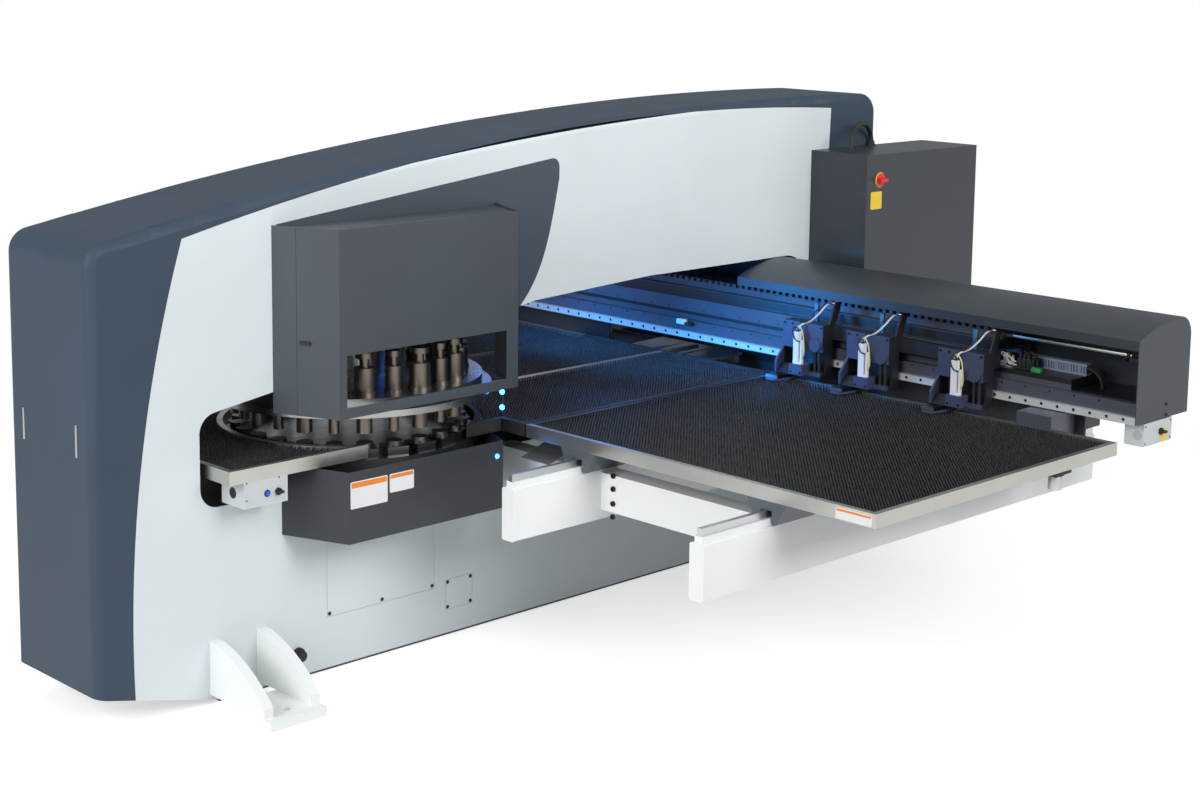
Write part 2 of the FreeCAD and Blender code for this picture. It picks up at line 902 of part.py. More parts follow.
def working_punch():
    """Taller punch at the working station, under the ram; it slides in its bore."""
    guide = s.large_tool + s.tool_fit - s.shaft_fit
    outline = tool_profile(s.large_tool, guide, s.punch_rise)
    punch = turned("working_punch", lift_collar(outline))
    return place(punch, 0, ram_y, 0)


def lift_collar(outline):
    """Leave the collar out, so that the punch can travel down through the disc."""
    top = turret_top + s.collar_height + s.can_height
    guide = outline[3][0]
    return outline[:4] + [(guide, top)] + outline[9:]


def lower_turret():
    """Lower disc with its shaft."""
    disc = Piece("lower_turret")
    disc.add("XY", s.lower_bottom, lower_top, Circle(0, 0, s.lower_radius))
    disc.add("XY", lower_shaft_end, s.lower_bottom, Circle(0, 0, s.shaft_radius))
    return disc


def die_holders():
    """A square holder with a round die at each station."""
    half = s.die_block_side / 2
    holder = Piece("die_holder")
    top = lower_top + s.die_block_height
    holder.add("XY", lower_top, top, rectangle(-half, half, -half, half))
    holder.add("XY", top, top + s.die_height, Circle(0, 0, s.die_radius))
    count = 2 * int(s.station_pairs.number)
    angles = [90 + 360 / count * turn for turn in range(count)]
    return ring_copies("die_holders", [(holder.body, s.station_radius, angles)])


def ram_pieces():
    """Ram with its striker, and the cylinder that it slides in."""
    rod_top = ram_bottom + s.ram_rise
    rod = cylinder("ram_rod", 0, ram_y, ram_bottom, rod_top, s.ram_radius)
    striker = cylinder("striker", 0, ram_y, ram_bottom, ram_bottom + s.striker_height,
                       s.striker_radius)
    bore = cylinder("ram_guide", 0, ram_y, s.cavity_roof - s.flange_height - s.sheet,
                    rod_top + s.ram_headroom, s.ram_radius + s.shaft_fit)
    flange = cylinder("cylinder_flange", 0, ram_y, s.cavity_roof - s.flange_height,
                      s.cavity_roof, s.cylinder_flange)
    barrel = cylinder("cylinder_barrel", 0, ram_y, s.cavity_roof, upper_shaft_top + s.sheet,
                      s.cylinder_radius)
    body = join("MultiFuse", "cylinder_body", flange, barrel)
    return join("MultiFuse", "ram", rod, striker), join("Cut", "ram_cylinder", body, bore)


# --- housings and skirts ------------------------------------------------------------------

def bay_outline(front, left, left_corner, right_corner, right, inset):
    """Plan of a bay on the frame side: a flat front between two slanted ends."""
    side = s.frame_half
    depth = front - side
    points = []
    for wall, corner, sign in ((left, left_corner, -1), (right, right_corner, 1)):
        slope = (wall - corner) / depth
        shift = inset * root(slope * slope + 1)
        points.append((side, sign * (wall - shift)))
        points.append((front - inset, sign * (corner - shift + inset * slope)))
    return [points[0], points[1], points[3], points[2]]


def bay_shell(label, sizes, low, high):
    """Sheet walls of a bay between two heights, open at the top, bottom and back."""
    shell = Piece(label)
    shell.add("XY", low, high, bay_outline(*sizes, as_size(0)))
    shell.cut("XY", low, high, bay_outline(*sizes, s.housing_sheet))
    return shell.body


housing_sizes = (s.housing_front, s.housing_left, s.housing_left_corner,
                 s.housing_right_corner, s.housing_right)
skirt_sizes = (s.skirt_front, s.skirt_left, s.skirt_left_corner,
               s.skirt_right_corner, s.skirt_right)


def housing_lid(label, door_space):
    """Recessed top plate of a housing; behind the door it keeps clear of the door."""
    level = s.housing_top - s.housing_recess
    lid = Piece(label)
    lid.add("XY", level - s.housing_sheet, level, bay_outline(*housing_sizes, s.housing_sheet))
    if door_space is not None:
        lid.cut("XY", level - s.housing_sheet, level, door_space)
    return lid.body


def housings():
    """Turret housings; the loading side has a hinged door with a window."""
    low, high = s.housing_bottom, s.housing_top
    front, gap = s.housing_front, s.door_gap
    reach = s.housing_left + s.sheet
    hinge = s.housing_right_corner
    inner = front - s.housing_sheet - gap
    slope = (s.housing_left - s.housing_left_corner) / (front - s.frame_half)
    shift = (s.housing_sheet + gap) * root(slope * slope + 1)
    seam_y = slope * (s.door_seam - s.frame_half) - s.housing_left + shift
    corner_y = slope * (inner - s.frame_half) - s.housing_left + shift
    door_space = [(s.door_seam, seam_y - s.housing_sheet), (s.door_seam, seam_y),
                  (inner, corner_y), (inner, hinge), (front, hinge), (front, -reach),
                  (s.door_seam, -reach)]
    opening = box("door_opening", (s.door_seam, front + gap), (-reach, hinge), (low, high))
    leaf = box("door_leaf", (s.door_seam + gap, front + gap), (-reach, hinge - gap), (low, high))
    window = box("window", (inner - s.housing_sheet, front + gap),
                 (-s.window_left, s.window_right), (s.window_bottom, s.window_top))
    walls = bay_shell("housing_walls", housing_sizes, low, high)
    fixed = join("MultiFuse", "turret_housing_right", join("Cut", "housing_ends", walls, opening),
                 housing_lid("housing_lid", door_space))
    door = join("Cut", "housing_door",
                join("MultiCommon", "door_sheet", bay_shell("door_walls", housing_sizes, low, high),
                     leaf),
                join("MultiFuse", "door_cuts", window, latch_bore()))
    plain = join("Cut", "plain_walls", bay_shell("left_walls", housing_sizes, low, high),
                 box("left_window", (inner - s.housing_sheet, front + gap),
                     (-s.window_left, s.window_right), (s.window_bottom, s.window_top)))
    closed = join("MultiFuse", "housing_source", plain, housing_lid("left_lid", None))
    return [fixed, door, mirror("turret_housing_left", closed)]


def latch_frame():
    """Middle of the latch on the slanted sheet, and the turn that squares it to the sheet."""
    slope = (s.housing_left.number - s.housing_left_corner.number) / (
        s.housing_front.number - s.frame_half.number)
    x = s.door_seam.number + s.latch_length.number / 2
    y = slope * (x - s.frame_half.number) - s.housing_left.number
    return Vector(x, y, s.latch_height.number), math.degrees(math.atan(slope))


def latch_solid(radius, low, high):
    """Round bar square to the slanted sheet, between two depths from its outer face."""
    spot, turn = latch_frame()
    bar = Part.makeCylinder(radius, high - low, Vector(0, -high, 0), Vector(0, 1, 0))
    bar.Placement = Placement(spot, Rotation(Vector(0, 0, 1), turn)) * bar.Placement
    return bar


def latch_bore():
    """Hole in the door sheet for the pin of the latch."""
    bore = doc.addObject("Part::Feature", "latch_bore")
    reach = s.latch_pin.number
    bore.Shape = latch_solid(s.latch_radius.number + s.shaft_fit.number, -reach, reach)
    return bore


def door_latch():
    """Lever of the housing door on its pin, with its grip pointing away from the seam."""
    spot, turn = latch_frame()
    gap, thick = s.running_gap.number, s.latch_radius.number
    pin = latch_solid(thick, -s.latch_pin.number, gap)
    lever = Part.makeBox(s.latch_length.number, thick, 2 * thick,
                         Vector(-thick, -gap - thick, -thick))
    lever.Placement = Placement(spot, Rotation(Vector(0, 0, 1), turn))
    latch = doc.addObject("Part::Feature", "door_latch")
    latch.Label = "door_latch"
    latch.Shape = pin.fuse(lever).removeSplitter()
    return latch


def skirts():
    """Folded pans round the lower turret."""
    floor = Piece("skirt_floor")
    floor.add("XY", s.skirt_bottom, s.skirt_bottom + s.housing_sheet,
              bay_outline(*skirt_sizes, s.housing_sheet))
    right = join("MultiFuse", "skirt_right",
                 bay_shell("skirt_walls", skirt_sizes, s.skirt_bottom, s.skirt_top), floor.body)
    return [right, mirror("skirt_left", right)]


for piece in (upper_turret(), turret_ring(), punch_tools(), working_punch(), lower_turret(),
              die_holders(), *ram_pieces(), *housings(), door_latch(), *skirts()):
    keep(piece)

# --- brush tables -------------------------------------------------------------------------

table_bottom = s.table_top - s.table_edge
tray_level = table_bottom + s.table_floor


def arc_table(half, step, front, back, inset):
    """Plan of a fixed table that a round bay of the turret cuts into.

    The bay is on the back edge where the table lies before the turret, and on the front
    edge, between two steps, where it lies behind.
    """
    arc = s.table_arc + inset
    if step is None:
        half = half - inset
        start = -root(arc * arc - half * half)
        return [(-half, front + inset), (half, front + inset), (half, start, -arc),
                (-half, start)]
    step = step - inset
    start = root(arc * arc - step * step)
    return [(inset - half, front + inset), (-step, front + inset), (-step, start, -arc),
            (step, start), (step, front + inset), (half - inset, front + inset),
            (half - inset, back - inset), (inset - half, back - inset)]


def fixed_table(label, plan, legs):
    """Edged tray and brush field of a fixed table."""
    tray = Piece(f"{label}_frame")
    tray.add("XY", table_bottom, s.table_top, arc_table(*plan, as_size(0)))
    tray.cut("XY", tray_level, s.table_top, arc_table(*plan, s.table_bar))
    side = s.leg_side / 2
    for y in legs:
        for x in (-s.leg_reach, s.leg_reach):
            tray.add("XY", s.throat_floor, table_bottom,
                     rectangle(x - side, x + side, y - side, y + side))
    return [tray, brush_field(f"{label}_brushes", arc_table(*plan, s.table_bar), plan[0],
                              plan[2], plan[3])]


def brush_field(label, outline, half, front, back, left=None):
    """Rows of brush strips: a block with grooves across, row after row."""
    field = Piece(label)
    field.add("XY", tray_level, s.table_top, outline)
    left = -half if left is None else left
    start = front + s.table_bar + s.brush_pitch / 2
    run = back - start - s.table_bar - s.brush_pitch
    count = whole(run / s.brush_pitch)
    field.cut("XY", s.table_top - s.brush_depth, s.table_top,
              rectangle(left - s.sheet, half + s.sheet, start, start + s.brush_groove))
    field.repeat_last("XY", "V_Axis", s.brush_pitch * count, count + 1)
    return field


def channel_outline(x):
    """Front view of a hat-shaped channel that straddles a rail."""
    rail_top = s.beam_bottom + s.beam_height + s.step_height + s.rail_height
    foot = s.beam_bottom + s.beam_height + s.channel_foot_gap
    slot = rail_top + s.running_gap
    top, low, gap = s.channel_top_half, s.channel_bottom_half, s.channel_slot_half
    return [(x - low, foot), (x - gap, foot), (x - gap, slot), (x + gap, slot),
            (x + gap, foot), (x + low, foot), (x + top, table_bottom), (x - top, table_bottom)]


def moving_table():
    """Edged tray with its two channels, and its brush field, on the loading side."""
    inner = s.centre_table_half + s.wing_gap
    bar = s.table_bar
    tray = Piece("wing_frame_right")
    tray.add("XY", table_bottom, s.table_top,
             rectangle(inner, s.wing_outer, s.wing_front, s.wing_rear))
    field = rectangle(inner + bar, s.wing_outer - bar, s.wing_front + bar, s.wing_rear - bar)
    tray.cut("XY", tray_level, s.table_top, field)
    for x in (s.inner_beam_x, s.outer_beam_x):
        tray.add("XZ", s.wing_front, s.wing_rear, channel_outline(x))
    brushes = brush_field("wing_brushes_right", field, s.wing_outer, s.wing_front,
                          s.wing_rear, left=inner)
    return [tray, mirror("wing_frame_left", tray.body), brushes,
            mirror("wing_brushes_left", brushes.body)]


def table_beam(label, x, start):
    """Cantilevered beam with a stepped top, its rail, its end plate and its cross members."""
    half = s.beam_half
    top = s.beam_bottom + s.beam_height
    step = top + s.step_height
    rail = step + s.rail_height
    beam = Piece(label)
    beam.add("XZ", s.beam_front, s.beam_rear,
             [(x - half, s.beam_bottom), (x + half, s.beam_bottom), (x + half, top),
              (x + s.step_half, top), (x + s.step_half, step), (x + s.rail_half, step),
              (x + s.rail_half, rail), (x - s.rail_half, rail), (x - s.rail_half, step),
              (x - s.step_half, step), (x - s.step_half, top), (x - half, top)])
    border = s.end_plate_border
    corners = rectangle(x - half - border, x + half + border, s.beam_bottom - border,
                        top + border)
    beam.add("XZ", s.beam_front - s.end_plate, s.beam_front, corners)
    beam.round(s.end_plate_corner, "XZ", *corners)
    for front in (s.cross_front, s.cross_rear):
        beam.add("XY", s.cross_bottom, s.cross_bottom + s.cross_height,
                 rectangle(start, x - half, front, front + s.cross_width))
    return beam


def table_beams():
    """Inner and outer beams of both sides."""
    made = []
    inner_start = s.frame_half
    outer_start = s.inner_beam_x + s.beam_half
    for name, x, start in (("inner", s.inner_beam_x, inner_start),
                           ("outer", s.outer_beam_x, outer_start)):
        beam = table_beam(f"{name}_beam_right", x, start)
        made += [beam, mirror(f"{name}_beam_left", beam.body)]
    return made


def chute_cover():
    """Sloped cover plate between the skirt and the inner beam."""
    low, high = s.chute_low, s.chute_low + s.chute_rise
    thick = s.housing_sheet
    front, back = s.chute_front, s.cross_front - thick
    cover = Piece("chute_cover")
    cover.add("YZ", s.chute_inner, s.chute_outer,
              [(front, low), (back, high), (back, s.cross_bottom + s.cross_height),
               (back + thick, s.cross_bottom + s.cross_height), (back + thick, high + thick),
               (front, low + thick)])
    return cover


plan_front = (s.front_table_half, None, -s.front_table_front, -s.table_arc + s.table_bar)
plan_centre = (s.centre_table_half, s.centre_table_step, s.wing_front, s.wing_rear)
front_leg = -(s.table_arc + s.front_table_front) / 2
back_leg = s.wing_rear - s.leg_reach
mid_leg = s.table_arc + s.leg_reach
for piece in (*fixed_table("front_table", plan_front, (front_leg,)),
              *fixed_table("centre_table", plan_centre, (mid_leg, back_leg)),
              *moving_table(), *table_beams(), chute_cover()):
    keep(piece)

# --- cross rail and hoods -----------------------------------------------------------------

groove_low = s.rail_beam_bottom + s.rail_lower_height
groove_high = groove_low + s.rail_groove_height
upper_high = groove_high + s.rail_upper_height
ledge_high = upper_high + s.rail_ledge_height
rail_top = ledge_high + s.rail_top_height
hood_end = s.rail_beam_half + s.hood_sheet
step_end = s.rail_beam_half - s.rail_step_setback
duct_outer = s.rail_beam_half - s.duct_setback
duct_inner = duct_outer - s.duct_length


def cross_rail():
    """Stepped cross rail with a toothed rack, a low loading end, two feet and an apron."""
    front, low, half = s.rail_beam_front, s.rail_beam_bottom, s.rail_beam_half
    back = front + s.rail_beam_depth
    chamfer = s.rail_beam_chamfer
    rail = Piece("cross_rail")
    rail.add("YZ", -half, half,
             [(front, low), (back - chamfer, low), (back, low + chamfer), (back, rail_top),
              (front + s.rail_top_setback, rail_top), (front + s.rail_top_setback, ledge_high),
              (front + s.rail_ledge_setback, ledge_high),
              (front + s.rail_ledge_setback, upper_high),
              (front + s.rail_upper_setback, upper_high),
              (front + s.rail_upper_setback, groove_high),
              (front + s.rail_groove_setback, groove_high),
              (front + s.rail_groove_setback, groove_low), (front, groove_low)])
    for start, floor, top in ((step_end, groove_high, rail_top + s.sheet),
                              (duct_outer, groove_low, groove_high)):
        rail.cut("YZ", start, half, rectangle(front - s.sheet, back + s.sheet, floor, top))
    inner = half - s.rail_foot_setback
    outer = inner + s.rail_foot_width
    foot = [(s.rail_foot_front, s.table_top), (s.wing_rear, s.table_top),
            (s.wing_rear, s.rail_foot_bottom), (back - chamfer, s.rail_foot_bottom),
            (back - chamfer, low), (s.rail_foot_front, low)]
    apron_outer = half - s.apron_setback
    apron = rectangle(s.apron_front, s.apron_front + s.apron_depth, s.apron_bottom, low)
    for left, right, outline in ((inner, outer, foot), (-outer, -inner, foot),
                                 (s.apron_inner, apron_outer, apron),
                                 (-apron_outer, -s.apron_inner, apron)):
        rail.add("YZ", left, right, outline)
    rack = front + s.rail_top_setback + s.sheet
    rail.add("XY", rail_top, rail_top + s.tooth_height,
             rectangle(s.tooth_pitch / 2 - half, s.tooth_pitch - half, rack, rack + s.table_bar))
    count = whole((half + step_end) / s.tooth_pitch) - 1
    rail.repeat_last("XY", "H_Axis", s.tooth_pitch * count, count + 1)
    return rail


def slide_rail():
    """Slide rail of the clamps along the lower front of the cross rail."""
    low = s.rail_beam_bottom + s.sheet
    rail = Piece("clamp_slide_rail")
    rail.add("YZ", -s.rail_beam_half, s.rail_beam_half,
             rectangle(s.rail_beam_front - s.front_rail_depth, s.rail_beam_front, low,
                       low + s.front_rail_height))
    return rail


def hood():
    """Open-fronted hood over one end of the cross rail."""
    def outline(inset, floor):
        radius = s.hood_bulge - inset
        return [(s.hood_front + inset, floor), (s.hood_rear - inset, floor),
                (s.hood_rear - inset, s.hood_crown - inset, radius),
                (s.hood_front + inset, s.hood_crease - inset)]

    shell = Piece("hood_shell")
    profile = outline(as_size(0), s.hood_bottom)
    shell.add("YZ", s.hood_inner, hood_end, profile)
    shell.round(s.hood_corner, "YZ", profile[2][:2])
    inside = Piece("hood_inside")
    hollow = outline(s.hood_sheet, s.hood_bottom - s.sheet)
    inside.add("YZ", s.hood_inner - s.sheet, hood_end - s.hood_sheet, hollow)
    inside.round(s.hood_corner - s.hood_sheet, "YZ", hollow[2][:2])
    mouth = box("hood_mouth", (s.hood_inner - s.sheet, hood_end - s.hood_sheet),
                (s.hood_front - s.sheet, s.hood_front + s.sheet),
                (s.hood_bottom - s.sheet, s.hood_crease - s.hood_lip))
    return join("Cut", "hood_right", shell.body, join("MultiFuse", "hood_space", inside.body, mouth))


def end_box():
    """Control box under the end of the hood, with its bore for the selector."""
    outer = hood_end
    case = Piece("hood_control_box")
    case.add("XY", s.rail_beam_bottom - s.end_box_height, s.rail_beam_bottom,
             rectangle(outer - s.end_box_width, outer, s.end_box_front, s.end_box_rear))
    case.cut("YZ", outer - s.selector_reach, outer,
             Circle(s.end_selector_y, s.end_selector_z, s.button_radius + s.shaft_fit))
    return case


def control_knob(label, face, y, z):
    """Turning selector: a shaft in the box, a round collar and a grip bar."""
    shaft = s.button_radius
    knob = Piece(label)
    start = face + s.running_gap
    knob.add("YZ", face - s.selector_reach + s.running_gap, start, Circle(y, z, shaft))
    knob.add("YZ", start, start + s.selector_reach / 3, Circle(y, z, s.selector_radius))
    grip = s.selector_radius / 3
    knob.add("YZ", start + s.selector_reach / 3, start + s.selector_reach,
             rectangle(y - s.selector_grip, y + s.selector_grip, z - grip, z + grip))
    return knob


def cable_duct():
    """Slotted cable duct on the low end of the cross rail."""
    low = groove_high
    front = s.duct_front
    duct = Piece("cable_duct")
    duct.add("XY", low, low + s.duct_height,
             rectangle(duct_inner, duct_outer, front, front + s.duct_depth))
    slot = s.duct_depth / 5
    duct.cut("XZ", front, front + s.housing_sheet,
             rectangle(duct_inner + slot, duct_inner + slot * 2, low + slot,
                       low + s.duct_height - slot))
    count = whole(s.duct_length / (2 * slot)) - 1
    duct.repeat_last("XZ", "H_Axis", slot * 2 * count, count + 1)
    return duct


def cable_chain():
    """Three hoses that leave the duct and bend down on to the end of the cross rail."""
    tubes = []
    for step in (-1, 0, 1):
        tube = doc.addObject("Part::Torus", "hose")
        tube.Placement = Placement(Vector(), Rotation(Vector(1, 0, 0), 90))
        bind(tube, Radius1=s.chain_radius, Radius2=s.chain_tube)
        tube.Angle3 = 90
        middle = s.duct_front + s.duct_depth / 2 + s.chain_pitch * step
        tubes.append(place(tube, duct_outer, middle, groove_low))
    return join("MultiFuse", "cable_chain", *tubes)


hood_right = hood()
for piece in (cross_rail(), slide_rail(), hood_right, mirror("hood_left", hood_right), end_box(),
              control_knob("hood_selector", hood_end, s.end_selector_y, s.end_selector_z),
              cable_duct(), cable_chain()):
    keep(piece)

# --- clamps -------------------------------------------------------------------------------

CLAMPS = (s.first_clamp, s.second_clamp, s.third_clamp)
sheet_level = s.table_top + s.tongue_gap + s.tongue_height
jaw_eye = s.jaw_pivot_z + s.jaw_pin * 2


def clamp_cheeks(carriage, x):
    """Lower tongue of a clamp with the cheeks that hold the pin of its jaw."""
    half, plate, back = s.clamp_half, s.clamp_plate, s.carriage_back
    tongue = s.tongue_half
    top = s.clamp_bottom + s.cheek_height
    carriage.add("XY", sheet_level - s.tongue_height, sheet_level,
                 [(x - half, s.clamp_front), (x - tongue, s.tongue_tip + tongue),
                  (x - tongue / 2, s.tongue_tip), (x + tongue / 2, s.tongue_tip),
                  (x + tongue, s.tongue_tip + tongue), (x + half, s.clamp_front),
                  (x + half, back), (x - half, back)])
    carriage.add("XY", sheet_level, s.clamp_bottom,
                 rectangle(x - half, x + half, s.jaw_pivot_y + s.jaw_half, back))
    carriage.add("YZ", x - half, x - half + plate,
                 [(s.clamp_front, s.clamp_bottom), (back, s.clamp_bottom),
                  (back, s.clamp_head_bottom), (s.clamp_head_front, s.clamp_head_bottom),
                  (s.clamp_front, top)])
    carriage.add("XY", s.clamp_bottom, top,
                 rectangle(x + half - plate, x + s.seat_reach, s.clamp_front, back))
    carriage.cut("YZ", x - half, x + half,
                 Circle(s.jaw_pivot_y, s.jaw_pivot_z, s.jaw_pin + s.shaft_fit))


def clamp_body(carriage, x):
    """Back wall, head, boss, rods, arm and cable post of a clamp."""
    left, right, back = x - s.clamp_half, x + s.clamp_reach, s.carriage_back
    head = s.clamp_head_bottom
    top = head + s.clamp_head_height
    carriage.add("XY", s.clamp_bottom, top, rectangle(left, right, back - s.clamp_plate, back))
    carriage.add("XY", head, top, rectangle(left, right, s.clamp_head_front, back))
    boss = x + s.clamp_boss_reach
    carriage.add("XZ", s.clamp_head_front - s.clamp_boss_depth, s.clamp_head_front,
                 Circle(boss, head + s.clamp_boss_rise, s.clamp_boss_radius))
    foot = s.clamp_bottom + s.clamp_foot_height
    carriage.add("XY", s.clamp_bottom, foot,
                 rectangle(x + s.seat_reach, right, s.clamp_foot_front, back))
    pitch = s.clamp_rod_pitch / 2
    carriage.add("XY", foot, head, Circle(boss - pitch, s.clamp_rod_y, s.clamp_rod_radius),
                 Circle(boss + pitch, s.clamp_rod_y, s.clamp_rod_radius))
    front = back - s.arm_width
    carriage.add("YZ", right - s.clamp_plate, right,
                 [(front, s.clamp_bottom), (back, s.clamp_bottom), (back, s.arm_bend),
                  (back + s.arm_lean, s.arm_top), (front + s.arm_lean, s.arm_top),
                  (front, s.arm_bend)])
    post = x + s.post_reach
    carriage.add("XY", top, top + s.post_height,
                 rectangle(post, post + s.post_width, back - s.clamp_plate, back))


def clamp_carriage():
    """Bar along the cross rail with a slide shoe and the fixed half of each clamp."""
    low = s.carriage_bottom
    bar_rear = s.rail_beam_front + s.rail_upper_setback - s.running_gap
    slide = s.rail_beam_bottom + s.sheet
    carriage = Piece("clamp_carriage")
    carriage.add("XY", low, low + s.carriage_height,
                 rectangle(s.first_clamp - s.carriage_margin, s.third_clamp + s.clamp_reach,
                           s.carriage_back, bar_rear))
    for x in CLAMPS:
        clamp_body(carriage, x)
        clamp_cheeks(carriage, x)
        carriage.add("XY", slide, slide + s.front_rail_height,
                     rectangle(x - s.clamp_half, x + s.clamp_half, s.carriage_back,
                               s.rail_beam_front - s.front_rail_depth - s.running_gap))
    return carriage


def clamp_jaw(number, x):
    """Upper jaw with its pivot pin."""
    level = sheet_level + s.jaw_gap
    half = s.jaw_half
    arm = s.jaw_pivot_y + s.jaw_arm
    jaw = Piece(f"clamp_jaw_{number}")
    jaw.add("YZ", x - half, x + half,
            [(s.tongue_tip + s.jaw_height, level), (s.jaw_pivot_y, level),
             (arm, s.jaw_pivot_z), (arm, jaw_eye), (s.jaw_pivot_y - half, jaw_eye),
             (s.jaw_pivot_y - half * 2, level + s.jaw_height),
             (s.tongue_tip + s.jaw_height, level + s.jaw_height)])
    jaw.add("YZ", x - s.clamp_half, x + s.clamp_half,
            Circle(s.jaw_pivot_y, s.jaw_pivot_z, s.jaw_pin))
    return jaw


def clamp_actuator(number, x):
    """Pale air cylinder on its base, with a slim sensor strip beside it."""
    low = s.clamp_bottom + s.cheek_height
    left, front = x + s.actuator_reach, s.actuator_front
    right, back = left + s.actuator_width, front + s.actuator_depth
    strip = right + s.actuator_gap
    case = Piece(f"clamp_actuator_{number}")
    case.add("XY", low, low + s.actuator_base,
             rectangle(left, strip + s.strip_width, front, back))
    case.add("XY", low, low + s.actuator_height, rectangle(left, right, front, back))
    case.add("XY", low, low + s.strip_height,
             rectangle(strip, strip + s.strip_width, front + s.actuator_gap, back))
    return case


keep(clamp_carriage())
for number, x in enumerate(CLAMPS, start=1):
    keep(clamp_jaw(number, x))
    keep(clamp_actuator(number, x))

# --- cabinet and controls -----------------------------------------------------------------

def cabinet():
    """Sheet cabinet on the frame side: an open-fronted case on a plinth."""
    thick = s.cabinet_sheet
    face = s.cabinet_outer - s.cabinet_door - s.running_gap
    low = s.cabinet_plinth
    case = Piece("cabinet")
    case.add("XY", low, s.cabinet_top,
             rectangle(s.frame_half, face, s.cabinet_front, s.cabinet_rear))
    case.cut("XY", low + thick, s.cabinet_top - thick,
             rectangle(s.frame_half + thick, face, s.cabinet_front + thick,
                       s.cabinet_rear - thick))
    case.add("XY", 0, low, rectangle(s.frame_half + s.table_bar, face - s.table_bar,
                                     s.cabinet_front + s.table_bar,
                                     s.cabinet_rear - s.table_bar))
    return case


def cabinet_door():
    """Folded cabinet door with the bore of the main switch."""
    thick = s.cabinet_sheet
    inner, outer = s.cabinet_outer - s.cabinet_door, s.cabinet_outer
    low = s.cabinet_plinth
    door = Piece("cabinet_door")
    door.add("YZ", inner, outer, rectangle(s.cabinet_front, s.cabinet_rear, low, s.cabinet_top))
    door.cut("YZ", inner, outer - thick,
             rectangle(s.cabinet_front + thick, s.cabinet_rear - thick, low + thick,
                       s.cabinet_top - thick))
    boss = s.switch_boss
    door.add("YZ", inner, outer - thick,
             rectangle(s.switch_y - boss, s.switch_y + boss, s.switch_z - boss,
                       s.switch_z + boss))
    door.cut("YZ", inner, outer, Circle(s.switch_y, s.switch_z, s.button_radius + s.shaft_fit))
    return door


def main_switch():
    """Rotary main switch: a shaft, a round plate and a grip bar."""
    outer = s.cabinet_outer + s.running_gap
    thick = s.switch_depth / 5
    grip = s.switch_plate / 4
    knob = Piece("main_switch")
    knob.add("YZ", outer - s.cabinet_door, outer, Circle(s.switch_y, s.switch_z, s.button_radius))
    knob.add("YZ", outer, outer + thick, Circle(s.switch_y, s.switch_z, s.switch_plate))
    knob.add("YZ", outer + thick, outer + s.switch_depth,
             rectangle(s.switch_y - s.switch_grip, s.switch_y + s.switch_grip,
                       s.switch_z - grip, s.switch_z + grip))
    return knob


def front_box():
    """Control box under the front table, with the bores of its button and selector."""
    face = s.front_table_half
    case = Piece("front_control_box")
    case.add("XY", s.front_box_bottom, table_bottom,
             rectangle(face - s.front_box_width, face, -s.front_box_front, -s.front_box_rear))
    for y in (-s.button_y, -s.selector_y):
        case.cut("YZ", face - s.selector_reach, face,
                 Circle(y, s.control_z, s.button_radius + s.shaft_fit))
    middle = (s.front_box_width / 2, (s.front_box_bottom + table_bottom) / 2)
    case.cut("XZ", -s.front_box_front, -s.front_box_front + s.knockout_depth,
             Circle(face - middle[0], middle[1], s.knockout_radius))
    return case


def front_button():
    """Pushbutton that slides into the front control box."""
    face = s.front_table_half
    button = Piece("front_button")
    button.add("YZ", face - s.button_radius, face + s.button_reach,
               Circle(-s.button_y, s.control_z, s.button_radius))
    return button


for piece in (cabinet(), cabinet_door(), main_switch(), front_box(), front_button(),
              control_knob("front_selector", s.front_table_half, -s.selector_y, s.control_z)):
    keep(piece)

# --- checks and output --------------------------------------------------------------------

doc.recompute()
for item in doc.Objects:
    if {"Invalid", "Error"} & set(item.State):
        raise RuntimeError(f"{item.Label} did not compute")
os.makedirs("parts", exist_ok=True)
for item in parts:
    if item.Shape.isNull() or not item.Shape.isValid() or not item.Shape.Solids:
        raise RuntimeError(f"{item.Label} has no valid shape")
for item in parts:
    item.Shape.exportStep(f"parts/{item.Label}.step")
    print(item.Label, len(item.Shape.Solids), round(item.Shape.Volume / 1e6, 3))
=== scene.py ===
"""Turret punch press: finishes, fittings, brushes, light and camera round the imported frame."""
import logging
import math
from dataclasses import dataclass
from enum import Enum
from typing import Callable, Iterable, Sequence

import bmesh
import bpy
from mathutils import Matrix, Vector


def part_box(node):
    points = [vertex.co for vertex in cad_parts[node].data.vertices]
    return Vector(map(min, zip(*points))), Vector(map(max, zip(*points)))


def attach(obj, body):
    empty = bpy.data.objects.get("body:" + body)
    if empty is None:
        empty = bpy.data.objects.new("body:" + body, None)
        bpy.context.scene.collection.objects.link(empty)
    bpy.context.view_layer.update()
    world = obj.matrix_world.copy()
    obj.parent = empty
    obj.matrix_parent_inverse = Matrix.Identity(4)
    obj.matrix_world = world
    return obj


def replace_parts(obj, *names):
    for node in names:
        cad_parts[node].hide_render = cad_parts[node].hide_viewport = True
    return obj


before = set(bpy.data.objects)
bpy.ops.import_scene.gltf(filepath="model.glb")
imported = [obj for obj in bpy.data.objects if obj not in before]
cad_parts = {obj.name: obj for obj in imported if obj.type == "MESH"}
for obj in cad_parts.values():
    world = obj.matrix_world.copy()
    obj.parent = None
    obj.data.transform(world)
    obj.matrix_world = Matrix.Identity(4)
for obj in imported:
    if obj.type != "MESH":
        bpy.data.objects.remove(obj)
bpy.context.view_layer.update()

log = logging.getLogger("turret_punch_press")

Colour = tuple[float, float, float]
Point = Sequence[float]
WHITE: Colour = (1.0, 1.0, 1.0)
SMOOTH_ANGLE = math.radians(35.0)  # faces that meet under a smaller angle shade smoothly


# --- node trees --------------------------------------------------------------------------

